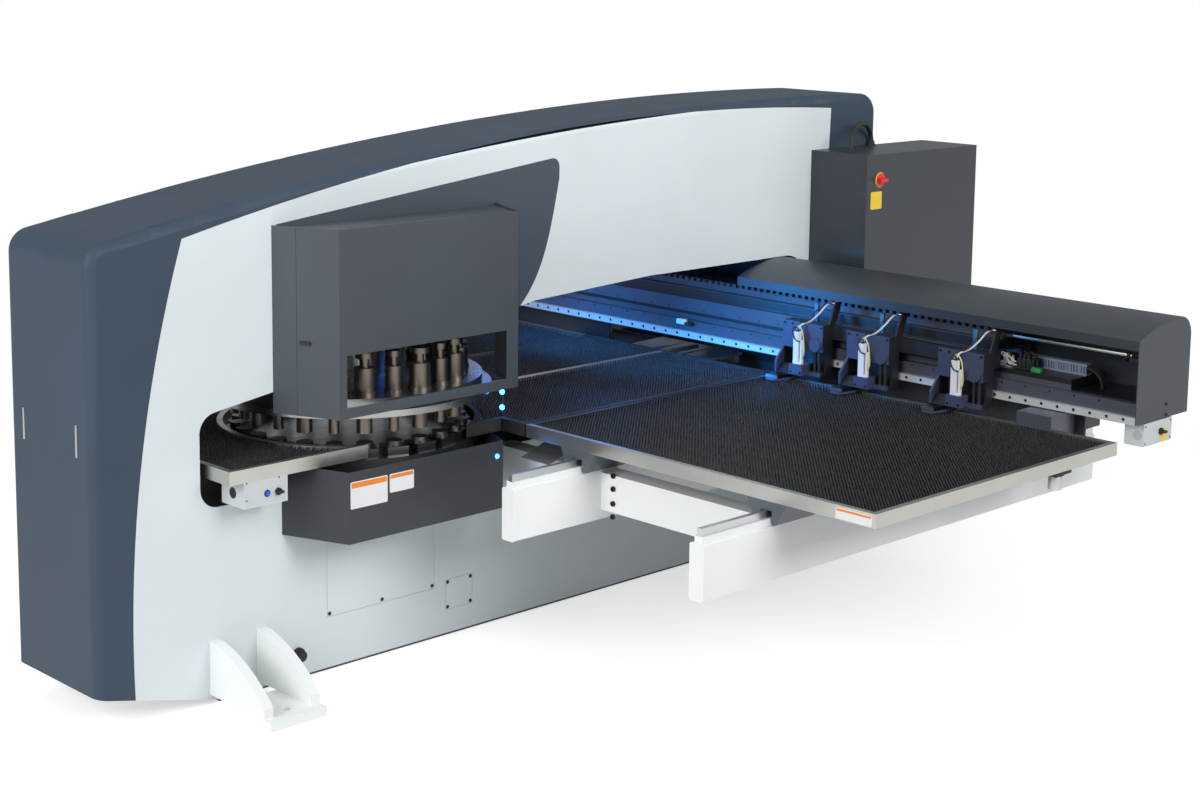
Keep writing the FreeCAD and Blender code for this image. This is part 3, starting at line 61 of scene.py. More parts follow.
class Tree:
    """A node tree under construction."""

    def __init__(self, tree: bpy.types.NodeTree) -> None:
        """Take a tree over and empty it.

        Args:
            tree: Blender's node tree.
        """
        self.tree = tree
        tree.nodes.clear()

    def node(self, kind: str, values: dict | None = None, **settings: object) -> bpy.types.Node:
        """Add a node.

        Args:
            kind: The node's type.
            values: Socket names or numbers with what each one is fed.
            **settings: Properties that are set first.

        Returns:
            The new node.
        """
        node = self.tree.nodes.new(kind)
        for name, value in settings.items():
            setattr(node, name, value)
        for key, value in (values or {}).items():
            self.feed(node.inputs[key], value)
        return node

    def signal(self, kind: str, values: dict, **settings: object) -> "Signal":
        """Add a node whose first output is a number.

        Args:
            kind: The node's type.
            values: Socket names or numbers with what each one is fed.
            **settings: Properties that are set first.

        Returns:
            The number as a signal.
        """
        return Signal(self, self.node(kind, values, **settings).outputs[0])

    def feed(self, socket: bpy.types.NodeSocket, value: object) -> None:
        """Give an input socket a value or a link.

        Args:
            socket: The input socket.
            value: A number, a colour, a socket, a signal, or a node for its first output.
        """
        if isinstance(value, Signal):
            value = value.socket
        elif isinstance(value, bpy.types.Node):
            value = value.outputs[0]
        if isinstance(value, bpy.types.NodeSocket):
            self.tree.links.new(value, socket)
        elif socket.type == "RGBA" and len(value) == 3:
            socket.default_value = (*value, 1.0)
        else:
            socket.default_value = value


def operator(operation: str, swapped: bool = False) -> Callable[..., "Signal"]:
    """Operator between signals.

    Args:
        operation: Operation of its Math node.
        swapped: Whether the operands change places.

    Returns:
        The operator's method.
    """
    def join(signal: "Signal", other: "Signal | float") -> "Signal":
        """Join a signal with another one or with a number."""
        return signal.maths(operation, other, swapped)

    return join


class Signal:
    """A number in a node tree that takes part in arithmetic; a comparison gives one or zero."""

    __add__ = __radd__ = operator("ADD")
    __sub__ = operator("SUBTRACT")
    __rsub__ = operator("SUBTRACT", swapped=True)
    __mul__ = __rmul__ = operator("MULTIPLY")
    __truediv__ = operator("DIVIDE")
    __pow__ = operator("POWER")
    __gt__ = operator("GREATER_THAN")
    __lt__ = operator("LESS_THAN")

    def __init__(self, tree: Tree, socket: bpy.types.NodeSocket) -> None:
        """Wrap a socket.

        Args:
            tree: The tree that holds the socket.
            socket: An output socket.
        """
        self.tree = tree
        self.socket = socket

    def maths(self, operation: str, other: "Signal | float | None" = None,
              swapped: bool = False) -> "Signal":
        """Add a Math node on this signal.

        Args:
            operation: The node's operation.
            other: The second operand, if the operation has one.
            swapped: Whether the operands change places.

        Returns:
            The result as a signal.
        """
        operands = [self] if other is None else [self, other]
        if swapped:
            operands.reverse()
        return self.tree.signal("ShaderNodeMath", dict(enumerate(operands)),
                                operation=operation)

    def step(self, low: float, high: float) -> "Signal":
        """Smooth step from zero at low to one at high.

        Args:
            low: Value that maps to zero.
            high: Value that maps to one.

        Returns:
            The mapped signal.
        """
        return self.tree.signal("ShaderNodeMapRange",
                                {0: self, 1: low, 2: high, 3: 0.0, 4: 1.0},
                                interpolation_type="SMOOTHSTEP")


class Shader(Tree):
    """A material under construction, with one Principled shader."""

    def __init__(self, name: str) -> None:
        """Start a material.

        Args:
            name: The material's name.
        """
        self.material = bpy.data.materials.new(name)
        self.material.use_nodes = True
        super().__init__(self.material.node_tree)
        self.surface = self.node("ShaderNodeBsdfPrincipled")
        self.output = self.node("ShaderNodeOutputMaterial", {0: self.surface})
        self.place = self.node("ShaderNodeTexCoord").outputs["Object"]

    def axes(self) -> tuple[Signal, Signal, Signal]:
        """The piece's own X, Y and Z as signals."""
        node = self.node("ShaderNodeSeparateXYZ", {0: self.place})
        return tuple(Signal(self, socket) for socket in node.outputs)

    def noise(self, scale: float, detail: float = 2.0, stretch: Point | None = None) -> Signal:
        """Smooth random pattern about 0.5.

        Args:
            scale: Patches per metre.
            detail: Octaves of finer patches.
            stretch: Factor along each axis, where the pattern has a direction.

        Returns:
            The pattern as a signal.
        """
        place = self.place
        if stretch:
            place = self.node("ShaderNodeMapping", {"Vector": place, "Scale": stretch})
        return self.signal("ShaderNodeTexNoise",
                           {"Vector": place, "Scale": scale, "Detail": detail})

    def cells(self, size: float) -> Signal:
        """Random number per upright cell.

        Args:
            size: Side of a cell in metres.

        Returns:
            The number, from 0 to 1.
        """
        snapped = self.node("ShaderNodeVectorMath", {0: self.place, 1: (size, size, 1.0)},
                            operation="SNAP")
        return self.signal("ShaderNodeTexWhiteNoise", {"Vector": snapped})

    def mix(self, factor: Signal | float, first: object, second: object) -> bpy.types.NodeSocket:
        """Blend two colours.

        Args:
            factor: Zero gives the first, one the second.
            first: A colour or a colour socket.
            second: A colour or a colour socket.

        Returns:
            The blended colour's socket.
        """
        return self.node("ShaderNodeMix", {0: factor, 6: first, 7: second}, data_type="RGBA",
                         clamp_factor=True).outputs[2]

    def tones(self, factor: Signal, colour: Colour, low: float,
              high: float) -> bpy.types.NodeSocket:
        """Blend two shades of one colour.

        Args:
            factor: Zero gives the first shade, one the second.
            colour: Linear colour.
            low: Multiplier of the first shade.
            high: Multiplier of the second shade.

        Returns:
            The blended colour's socket.
        """
        return self.mix(factor, shade_of(colour, low), shade_of(colour, high))

    def bump(self, height: Signal, depth: float) -> None:
        """Feed the normal from a height pattern.

        Args:
            height: Pattern from 0 to 1.
            depth: Height of the pattern in metres.
        """
        self.set(Normal=self.node("ShaderNodeBump", {"Strength": 1.0, "Distance": depth,
                                                     "Height": height}))

    def set(self, **values: object) -> None:
        """Set sockets of the Principled shader, with underscores for spaces.

        Args:
            **values: What each named socket is fed.
        """
        for name, value in values.items():
            self.feed(self.surface.inputs[name.replace("_", " ")], value)


def shade_of(colour: Colour, factor: float) -> Colour:
    """A lighter or darker shade of a colour.

    Args:
        colour: Linear colour.
        factor: Multiplier.

    Returns:
        The new colour.
    """
    return tuple(min(1.0, channel * factor) for channel in colour)


# --- finishes ----------------------------------------------------------------------------

@dataclass(frozen=True)
class Paint:
    """Powder coat with a fine peel, faint mottling and a slightly uneven gloss."""

    name: str
    colour: Colour
    roughness: float = 0.42
    peel: float = 0.00006
    peel_scale: float = 420.0
    mottle: float = 0.05
    gloss: float = 0.5
    cloud_scale: float = 2.2
    wipe_scale: float = 4.0
    wipe: float = 0.08

    def base(self, shader: Shader) -> bpy.types.NodeSocket:
        """Mottled colour of the coat.

        Args:
            shader: The shader to add to.

        Returns:
            The colour's socket.
        """
        cloud = shader.noise(self.cloud_scale, 4.0)
        return shader.tones(cloud.step(0.3, 0.7), self.colour, 1 - self.mottle,
                            1 + self.mottle)

    def dress(self, shader: Shader) -> None:
        """Set the shader up.

        Args:
            shader: The shader to set.
        """
        wipe = shader.noise(self.wipe_scale, 4.0)
        shader.set(Base_Color=self.base(shader), Specular_IOR_Level=self.gloss,
                   Roughness=self.roughness + (wipe - 0.5) * self.wipe)
        shader.bump(shader.noise(self.peel_scale), self.peel)


@dataclass(frozen=True)
class PanelPaint(Paint):
    """Pale panel coat with the dark field that lies behind the turret housing."""

    field_colour: Colour = (0.050, 0.067, 0.088)
    field_mottle: float = 0.05
    field_start: float = -0.58
    top_level: float = 1.9175
    top_rise: float = 0.1139
    corner: float = 0.045
    edge_y: float = 0.925
    edge_top: float = 1.93
    edge_blur: float = 0.0008
    sweep: tuple[float, float, float] = (0.21, 0.45, 1.6)

    def base(self, shader: Shader) -> bpy.types.NodeSocket:
        """Coat with the dark field masked in on the side that faces the operator.

        Args:
            shader: The shader to add to.

        Returns:
            The colour's socket.
        """
        side, along, up = shader.axes()
        drop = (self.edge_top - up).maths("MAXIMUM", 0.0)
        first, third, sixth = self.sweep
        cube = drop * drop * drop
        right = self.edge_y - drop * first - cube * third - cube * cube * sixth
        over_top = up - (self.top_level + along * self.top_rise)
        reach_up = (over_top + self.corner).maths("MAXIMUM", 0.0)
        reach_on = (along - right + self.corner).maths("MAXIMUM", 0.0)
        distance = (reach_up * reach_up + reach_on * reach_on) ** 0.5 - self.corner
        inside = 1 - distance.step(-self.edge_blur, self.edge_blur)
        dark = shader.tones(shader.noise(self.cloud_scale, 4.0), self.field_colour,
                            1 - self.field_mottle, 1 + self.field_mottle)
        return shader.mix(inside * (side > 0.0) * (along > self.field_start),
                          super().base(shader), dark)


@dataclass(frozen=True)
class TwoPart:
    """Two finishes on one piece, which meet at a level along one axis.

    Above the level, what lies within `inner` of the middle plane and behind `front` is painted
    shade.
    """

    name: str
    low_colour: Colour
    high_colour: Colour
    level: float
    axis: int = 2
    low_metal: float = 0.0
    high_metal: float = 0.0
    low_roughness: float = 0.42
    high_roughness: float = 0.42
    roughness_range: float = 0.05
    peel: float = 0.00004
    peel_scale: float = 420.0
    mottle: float = 0.07
    cloud_scale: float = 3.0
    inner: float = 0.0
    front: float = -10.0
    inner_shade_colour: Colour = (0.012, 0.013, 0.015)

    def dress(self, shader: Shader) -> None:
        """Set the shader up.

        Args:
            shader: The shader to set.
        """
        axes = shader.axes()
        outer = (axes[0].maths("ABSOLUTE") > self.inner) + (axes[1] < self.front)
        outer = outer.maths("MINIMUM", 1.0)
        above = axes[self.axis] > self.level
        high = above * outer
        cloud = shader.noise(self.cloud_scale, 4.0)
        low_tone, high_tone = (shader.tones(cloud, colour, 1 - self.mottle, 1 + self.mottle)
                               for colour in (self.low_colour, self.high_colour))
        metal = self.low_metal
        if self.low_metal != self.high_metal:
            metal = high * (self.high_metal - self.low_metal) + self.low_metal
        rough = high * (self.high_roughness - self.low_roughness) + self.low_roughness
        # Painted shade darkens the inner part of the upper finish.
        tone = shader.mix(above * (1 - outer), shader.mix(high, low_tone, high_tone),
                          self.inner_shade_colour)
        shader.set(Base_Color=tone, Metallic=metal,
                   Roughness=rough + (cloud - 0.5) * self.roughness_range)
        shader.bump(shader.noise(self.peel_scale), self.peel)


@dataclass(frozen=True)
class RailPaint(Paint):
    """Coat of the cross rail, with painted shade on the shelf, the groove, a row of bores and
    the recess at the teeth.
    """

    shelf_level: float = 1.152
    shelf_front: float = 2.168
    painted_shade_colour: Colour = (0.014, 0.015, 0.018)
    recess_low: float = 1.216
    recess_high: float = 1.258
    groove_low: float = 1.128
    groove_high: float = 1.150
    bore_pitch: float = 0.12
    bore_level: float = 1.162
    bore_radius: float = 0.005

    def base(self, shader: Shader) -> bpy.types.NodeSocket:
        """Coat with painted shade masked in on the shelf, the recess, the groove and a row of
        bores.

        Args:
            shader: The shader to add to.

        Returns:
            The colour's socket.
        """
        across, along, up = shader.axes()
        shelf = (along > self.shelf_front) * (up < self.shelf_level)
        recess = (up > self.recess_low) * (up < self.recess_high)
        groove = (up > self.groove_low) * (up < self.groove_high)
        sideways = ((across / self.bore_pitch).maths("FRACT") - 0.5) * self.bore_pitch
        upward = up - self.bore_level
        bore = (sideways * sideways + upward * upward) ** 0.5 < self.bore_radius
        # The shelf, the recess, the groove and the bores are darkened as painted shade.
        dark = (shelf + recess + groove + bore).maths("MINIMUM", 1.0)
        return shader.mix(dark, super().base(shader), self.painted_shade_colour)


@dataclass(frozen=True)
class SlottedPlastic:
    """Pale duct wall with a row of narrow slots."""

    name: str
    colour: Colour
    roughness: float = 0.45
    roughness_range: float = 0.1
    mottle: float = 0.06
    cloud_scale: float = 8.0
    pitch: float = 0.0125
    slot_share: float = 0.32
    slot_low: float = 1.158
    slot_high: float = 1.188
    slot_shade: float = 0.22
    slot_depth: float = 0.001

    def dress(self, shader: Shader) -> None:
        """Set the shader up.

        Args:
            shader: The shader to set.
        """
        along, _, up = shader.axes()
        phase = (along / self.pitch).maths("FRACT")
        slot = (phase < self.slot_share) * (up > self.slot_low) * (up < self.slot_high)
        cloud = shader.noise(self.cloud_scale, 3.0)
        wall = shader.tones(cloud, self.colour, 1 - self.mottle, 1 + self.mottle)
        shader.set(Base_Color=shader.mix(slot, wall, shade_of(self.colour, self.slot_shade)),
                   Roughness=self.roughness + (cloud - 0.5) * self.roughness_range)
        shader.bump(1 - slot, self.slot_depth)


@dataclass(frozen=True)
class Metal:
    """Bare metal with a grain along one axis, or turned about the turret axis."""

    name: str
    colour: Colour
    roughness: float = 0.3
    grain: Point = (1.0, 1.0, 1.0)
    turned: bool = False
    stain: float = 0.25
    grain_scale: float = 240.0
    metal: float = 1.0
    relief: float = 0.00001
    ring_scale: float = 260.0
    streak_tones: tuple[float, float] = (0.93, 1.05)
    stain_scale: float = 9.0
    stain_shade: float = 0.6
    streak_roughness: float = 0.08
    stain_roughness: float = 0.06

    def dress(self, shader: Shader) -> None:
        """Set the shader up.

        Args:
            shader: The shader to set.
        """
        if self.turned:
            along, across, _ = shader.axes()
            radius = (along * along + across * across) ** 0.5
            streak = shader.signal("ShaderNodeTexNoise",
                                   {"W": radius, "Scale": self.ring_scale, "Detail": 2.0},
                                   noise_dimensions="1D")
        else:
            streak = shader.noise(self.grain_scale, 3.0, self.grain)
        stain = shader.noise(self.stain_scale, 4.0).step(0.35, 0.8)
        tone = shader.tones(streak, self.colour, *self.streak_tones)
        rough = self.roughness + (streak - 0.5) * self.streak_roughness
        shader.set(Metallic=self.metal, Roughness=rough + stain * self.stain_roughness,
                   Base_Color=shader.mix(stain * self.stain, tone,
                                         shade_of(self.colour, self.stain_shade)))
        shader.bump(streak, self.relief)


@dataclass(frozen=True)
class Plastic:
    """Moulded plastic or rubber with a fine pebble."""

    name: str
    colour: Colour
    roughness: float = 0.45
    pebble: float = 0.00005
    pebble_scale: float = 700.0
    mottle: float = 0.08
    cloud_scale: float = 6.0
    roughness_range: float = 0.12

    def dress(self, shader: Shader) -> None:
        """Set the shader up.

        Args:
            shader: The shader to set.
        """
        cloud = shader.noise(self.cloud_scale, 3.0)
        shader.set(Base_Color=shader.tones(cloud, self.colour, 1 - self.mottle,
                                           1 + self.mottle),
                   Roughness=self.roughness + (cloud - 0.5) * self.roughness_range)
        shader.bump(shader.noise(self.pebble_scale), self.pebble)


@dataclass(frozen=True)
class Bristle:
    """Black nylon bristles: painted shade on the feet, with a tone for each tuft, and painted
    highlight on the strands above.
    """

    name: str
    colour: Colour
    roughness: float = 0.42
    roughness_range: float = 0.25
    tuft_pitch: float = 0.0167
    foot_level: float = 0.936
    height: float = 0.020
    shaded_foot_tones: tuple[float, float] = (0.3, 0.6)
    highlight_tip_tones: tuple[float, float] = (2.2, 8.0)
    strand_scale: float = 900.0
    strand_depth: float = 0.0003

    def dress(self, shader: Shader) -> None:
        """Set the shader up.

        Args:
            shader: The shader to set.
        """
        # Painted shade darkens the tufts' feet and painted highlight lightens their strands
        # towards the tips.
        rise = ((shader.axes()[2] - self.foot_level) / self.height).step(0.15, 1.0)
        strand = shader.noise(self.strand_scale, 2.0, (1.0, 1.0, 0.06))
        foot = shader.tones(shader.cells(self.tuft_pitch), self.colour, *self.shaded_foot_tones)
        tip = shader.tones(strand.step(0.42, 0.66), self.colour, *self.highlight_tip_tones)
        shader.set(Base_Color=shader.mix(rise, foot, tip),
                   Roughness=self.roughness + (strand - 0.5) * self.roughness_range)
        shader.bump(strand, self.strand_depth)


@dataclass(frozen=True)
class Glow:
    """Lit face of a work lamp, with brighter spots; also the glow of a painted reflection."""

    name: str
    colour: Colour
    strength: float = 6.0
    roughness: float = 0.4
    spot_scale: float = 60.0
    between: float = 0.7

    def dress(self, shader: Shader) -> None:
        """Set the shader up.

        Args:
            shader: The shader to set.
        """
        spots = shader.noise(self.spot_scale, 1.0).step(0.35, 0.6)
        shader.set(Base_Color=self.colour, Roughness=self.roughness,
                   Emission_Color=shader.tones(spots, self.colour, self.between, 1.0),
                   Emission_Strength=self.strength)


class Finish(Enum):
    """The finishes of the machine."""

    COVER = Paint("blue_grey_cover_coat", (0.037, 0.059, 0.087), 0.55, gloss=0.3)
    PANEL = PanelPaint("pale_panel_coat", (0.66, 0.72, 0.74), 0.44, mottle=0.02)
    LEFT_PANEL = Paint("pale_left_panel_coat", (0.66, 0.72, 0.74), 0.44, mottle=0.02)
    CORE = Paint("frame_core_coat", (0.035, 0.040, 0.048), 0.5)
    WHITE = Paint("gloss_white_coat", (0.84, 0.86, 0.86), 0.42, mottle=0.008)
    BEAM = TwoPart("white_beam_with_steel_rail", (0.84, 0.86, 0.86), (0.58, 0.59, 0.60), 0.838,
                   high_metal=1.0, low_roughness=0.44, high_roughness=0.28, mottle=0.01)
    HOUSING = Paint("charcoal_housing_coat", (0.050, 0.061, 0.074), 0.44)
    HOOD = Paint("anthracite_hood_coat", (0.027, 0.035, 0.044), 0.38)
    # Painted shade: the skirt coat is the housing coat at half its brightness, darkened for the
    # shade on the skirt's face; the chute floors, the rear guard and the gap strip use it too.
    SKIRT = Paint("charcoal_skirt_coat", (0.025, 0.030, 0.037), 0.46)
    RAIL = RailPaint("cross_rail_coat", (0.066, 0.073, 0.094), 0.33)
    CLAMP = TwoPart("clamp_coat", (0.050, 0.060, 0.115), (0.016, 0.017, 0.020), 2.016, axis=1,
                    low_roughness=0.36, high_roughness=0.36)
    # Painted shade darkens the edge's inner part, beside the machine.
    WING = TwoPart("wing_bracket_and_edge", (0.090, 0.105, 0.125), (0.52, 0.51, 0.48), 0.903,
                   high_metal=1.0, high_roughness=0.36, inner=0.660, front=0.470)
    DISC = Metal("turned_disc_steel", (0.44, 0.44, 0.45), 0.27, turned=True, stain=0.10,
                 relief=0.000001)
    # Painted shade: the tools are darkened for the low light inside the turret housing.
    TOOL = Metal("dull_tool_bronze", (0.20, 0.175, 0.145), 0.36, (1.0, 1.0, 0.05))
    DIE = Metal("dark_die_steel", (0.15, 0.15, 0.155), 0.34, (1.0, 1.0, 0.05))
    JAW = TwoPart("jaw_steel_with_bright_tip", (0.50, 0.51, 0.53), (0.05, 0.055, 0.065), 1.888,
                  axis=1, low_metal=1.0, high_metal=1.0, low_roughness=0.3,
                  high_roughness=0.36)
    RAIL_STEEL = Metal("ground_rail_steel", (0.62, 0.63, 0.64), 0.40, (0.03, 0.03, 1.0),
                       stain=0.04, metal=0.35, relief=0.000001)
    EDGE = Metal("brushed_edge_profile", (0.58, 0.57, 0.53), 0.36, (0.04, 0.04, 1.0),
                 stain=0.15)
    ZINC = Metal("zinc_chute_sheet", (0.60, 0.61, 0.62), 0.42, (0.3, 1.0, 1.0))
    BRUSH = Bristle("black_bristle", (0.011, 0.0115, 0.0125))
    BLACK = Plastic("black_plastic", (0.016, 0.016, 0.018))
    BORE = Plastic("screw_bore_shade", (0.004, 0.004, 0.005), 0.7)
    SCREW = Metal("black_oxide_screw", (0.05, 0.05, 0.055), 0.38)
    WHITE_PLASTIC = Plastic("white_actuator_plastic", (0.78, 0.79, 0.80), 0.35)
    BOX_GREY = Plastic("light_grey_box", (0.56, 0.59, 0.60), 0.42)
    BOX_SHADE = Plastic("light_grey_knockout", (0.40, 0.44, 0.46), 0.45)
    DUCT = SlottedPlastic("slotted_duct_wall", (0.24, 0.29, 0.40))
    RED = Plastic("red_switch_grip", (0.66, 0.025, 0.015), 0.3)
    YELLOW = Plastic("yellow_plate", (0.83, 0.56, 0.02), 0.35)
    ORANGE = Plastic("orange_band", (0.80, 0.22, 0.02), 0.4)
    BLUE = Plastic("blue_button_cap", (0.02, 0.11, 0.50), 0.3)
    BLUE_TUBE = Plastic("blue_air_tube", (0.01, 0.10, 0.34), 0.35)
    BLUE_TRIM = Plastic("blue_post_cover", (0.03, 0.13, 0.30), 0.4)
    GREEN = Plastic("green_terminal", (0.02, 0.30, 0.10), 0.4)
    LABEL = Plastic("bare_label_sheet", (0.74, 0.75, 0.75), 0.5)
    CABLE_YELLOW = Plastic("yellow_signal_cable", (0.62, 0.60, 0.22), 0.45)
    CABLE_WHITE = Plastic("white_air_hose", (0.66, 0.68, 0.70), 0.4)
    LAMP = Glow("blue_work_lamp", (0.02, 0.22, 1.0), 26.0)

    def material(self) -> bpy.types.Material:
        """The finish's material, made at its first use."""
        made = bpy.data.materials.get(self.value.name)
        if made is None:
            shader = Shader(self.value.name)
            self.value.dress(shader)
            made = shader.material
        return made


NODE_FINISHES: dict[Finish, tuple[str, ...]] = {
    Finish.COVER: ("top_cover", "front_cover", "rear_cover"),
    Finish.PANEL: ("side_panel_right", "access_cover", "access_hatch"),
    Finish.LEFT_PANEL: ("side_panel_left",),
    Finish.CORE: ("main_frame", "ram_cylinder"),
    Finish.WHITE: ("foot_front_right", "foot_front_left", "foot_rear_right", "foot_rear_left"),
    Finish.BEAM: ("inner_beam_right", "inner_beam_left", "outer_beam_right",
                  "outer_beam_left"),
    Finish.HOUSING: ("turret_housing_right", "turret_housing_left", "housing_door"),
    Finish.SKIRT: ("skirt_right", "skirt_left"),
    Finish.HOOD: ("hood_right", "hood_left", "cabinet", "cabinet_door"),
    Finish.RAIL: ("cross_rail",),
    Finish.CLAMP: ("clamp_carriage",),
    Finish.DISC: ("upper_turret", "lower_turret", "turret_ring"),
    Finish.TOOL: ("punch_tools", "working_punch", "ram"),
    Finish.DIE: ("die_holders",),
    Finish.JAW: ("clamp_jaw_1", "clamp_jaw_2", "clamp_jaw_3"),
    Finish.RAIL_STEEL: ("clamp_slide_rail",),
    Finish.EDGE: ("front_table_frame",),
    Finish.WING: ("wing_frame_right", "wing_frame_left"),
    Finish.ZINC: ("chute_cover",),
    Finish.BLACK: ("centre_table_frame", "door_latch", "hood_selector", "front_selector",
                   "cable_chain"),
    Finish.DUCT: ("cable_duct",),
    Finish.WHITE_PLASTIC: ("clamp_actuator_1", "clamp_actuator_2", "clamp_actuator_3"),
    Finish.BOX_GREY: ("front_control_box", "hood_control_box"),
    Finish.RED: ("main_switch",),
    Finish.BLUE: ("front_button",),
}


def finish_nodes() -> None:
    """Give every node of the frame its finish."""
    for finish, names in NODE_FINISHES.items():
        for name in names:
            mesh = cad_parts[name].data
            mesh.materials.clear()
            mesh.materials.append(finish.material())


# --- mesh work ---------------------------------------------------------------------------

class Shape:
    """A mesh under construction, in row coordinates."""

    def __init__(self) -> None:
        """Start with an empty mesh."""
        self.mesh = bmesh.new()

    def soften(self, edges: Iterable[bmesh.types.BMEdge], width: float) -> None:
        """Round edges off.

        Args:
            edges: The edges.
            width: Width of the rounding; none at zero.
        """
        if width:
            bmesh.ops.bevel(self.mesh, geom=list(edges), offset=width, segments=2,
                            affect="EDGES", profile=0.5)

    def block(self, low: Point, high: Point, bevel: float = 0.0) -> "Shape":
        """Add a box with softened edges.

        Args:
            low: Lowest corner.
            high: Highest corner.
            bevel: Width of the softened edges.

        Returns:
            The shape itself.
        """
        low, high = Vector(low), Vector(high)
        place = Matrix.LocRotScale((low + high) / 2, None, high - low)
        grown = bmesh.ops.create_cube(self.mesh, size=1.0, matrix=place)
        self.soften({edge for vert in grown["verts"] for edge in vert.link_edges}, bevel)
        return self

    def rod(self, start: Point, end: Point, radius: float, bevel: float = 0.0,
            sides: int = 20) -> "Shape":
        """Add a straight round bar.

        Args:
            start: Middle of one end.
            end: Middle of the other end.
            radius: Its radius.
            bevel: Width of the softened rims.
            sides: Flats round the bar.

        Returns:
            The shape itself.
        """
        start, end = Vector(start), Vector(end)
        axis = end - start
        turn = axis.to_track_quat("Z", "Y").to_matrix().to_4x4()
        made = bmesh.ops.create_cone(self.mesh, cap_ends=True, segments=sides, radius1=radius,
                                     radius2=radius, depth=axis.length,
                                     matrix=Matrix.Translation((start + end) / 2) @ turn)
        caps = {face for vert in made["verts"] for face in vert.link_faces
                if len(face.verts) == sides}
        self.soften({edge for face in caps for edge in face.edges}, bevel)
        return self

    def plate(self, outline: Sequence[Point], depth: Point) -> "Shape":
        """Add a flat plate from an outline.

        Args:
            outline: Corner points of one face.
            depth: Vector from that face to the other.

        Returns:
            The shape itself.
        """
        verts = [self.mesh.verts.new(point) for point in outline]
        face = self.mesh.faces.new(verts)
        grown = bmesh.ops.extrude_face_region(self.mesh, geom=[face])
        moved = [item for item in grown["geom"] if isinstance(item, bmesh.types.BMVert)]
        bmesh.ops.translate(self.mesh, verts=moved, vec=Vector(depth))
        return self

    def revolve(self, centre: Point, profile: Sequence[tuple[float, float]],
                axis: Point = (0, 0, 1), sides: int = 32) -> "Shape":
        """Add a turned solid.

        Args:
            centre: Origin of the profile.
            profile: Radius and height pairs, both ends on the axis or at a radius.
            axis: Direction of the heights.
            sides: Flats round the axis.

        Returns:
            The shape itself.
        """
        turn = Vector(axis).to_track_quat("Z", "Y").to_matrix()
        centre = Vector(centre)
        rings = []
        for radius, height in profile:
            if radius <= 0:
                rings.append([self.mesh.verts.new(centre + turn @ Vector((0, 0, height)))])
                continue
            rings.append([self.mesh.verts.new(centre + turn @ Vector((
                radius * math.cos(2 * math.pi * step / sides),
                radius * math.sin(2 * math.pi * step / sides), height)))
                for step in range(sides)])
        for lower, upper in zip(rings, rings[1:]):
            for step in range(sides):
                after = (step + 1) % sides
                ring = [lower[step % len(lower)], lower[after % len(lower)],
                        upper[after % len(upper)], upper[step % len(upper)]]
                corners = list(dict.fromkeys(ring))
                if len(corners) > 2:
                    self.mesh.faces.new(corners)
        for ring, flip in ((rings[0], True), (rings[-1], False)):
            if len(ring) > 1:
                self.mesh.faces.new(list(reversed(ring)) if flip else ring)
        return self

    def settle(self, name: str) -> bpy.types.Mesh:
        """Turn the shape into a mesh with its faces outwards.

        Args:
            name: The mesh's name.

        Returns:
            The mesh.
        """
        bmesh.ops.recalc_face_normals(self.mesh, faces=self.mesh.faces)
        data = bpy.data.meshes.new(name)
        self.mesh.to_mesh(data)
        self.mesh.free()
        return data

    def done(self, name: str, finish: Finish, body: str) -> None:
        """Turn the shape into a piece that rides on a body.

        Args:
            name: The piece's name.
            finish: Its finish.
            body: The body that carries it.
        """
        adopt(name, self.settle(name), finish, body)


def adopt(name: str, data: bpy.types.Mesh, finish: Finish, body: str) -> bpy.types.Object:
    """Make a piece from a finished mesh.

    Args:
        name: The piece's name.
        data: Its mesh, in row coordinates.
        finish: Its finish.
        body: The body that carries it.

    Returns:
        The new object.
    """
    data.name = name
    data.materials.clear()
    data.materials.append(finish.material())
    piece = bpy.data.objects.new(name, data)
    bpy.context.scene.collection.objects.link(piece)
    data.shade_smooth()
    data.set_sharp_from_angle(angle=SMOOTH_ANGLE)
    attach(piece, body)
    log.info("%s: %d faces on %s", name, len(data.polygons), body)
    return piece


def fit(name: str, finish: Finish, body: str, blocks: Iterable[tuple] = (),
        rods: Iterable[tuple] = ()) -> None:
    """Make a piece of boxes and round bars.

    Args:
        name: The piece's name.
        finish: Its finish.
        body: The body that carries it.
        blocks: Lowest corner, highest corner and bevel of each box.
        rods: Both ends, radius and bevel of each bar, and its flats where they aren't 20.
    """
    shape = Shape()
    for block in blocks:
        shape.block(*block)
    for rod in rods:
        shape.rod(*rod)
    shape.done(name, finish, body)


# --- geometry nodes ----------------------------------------------------------------------

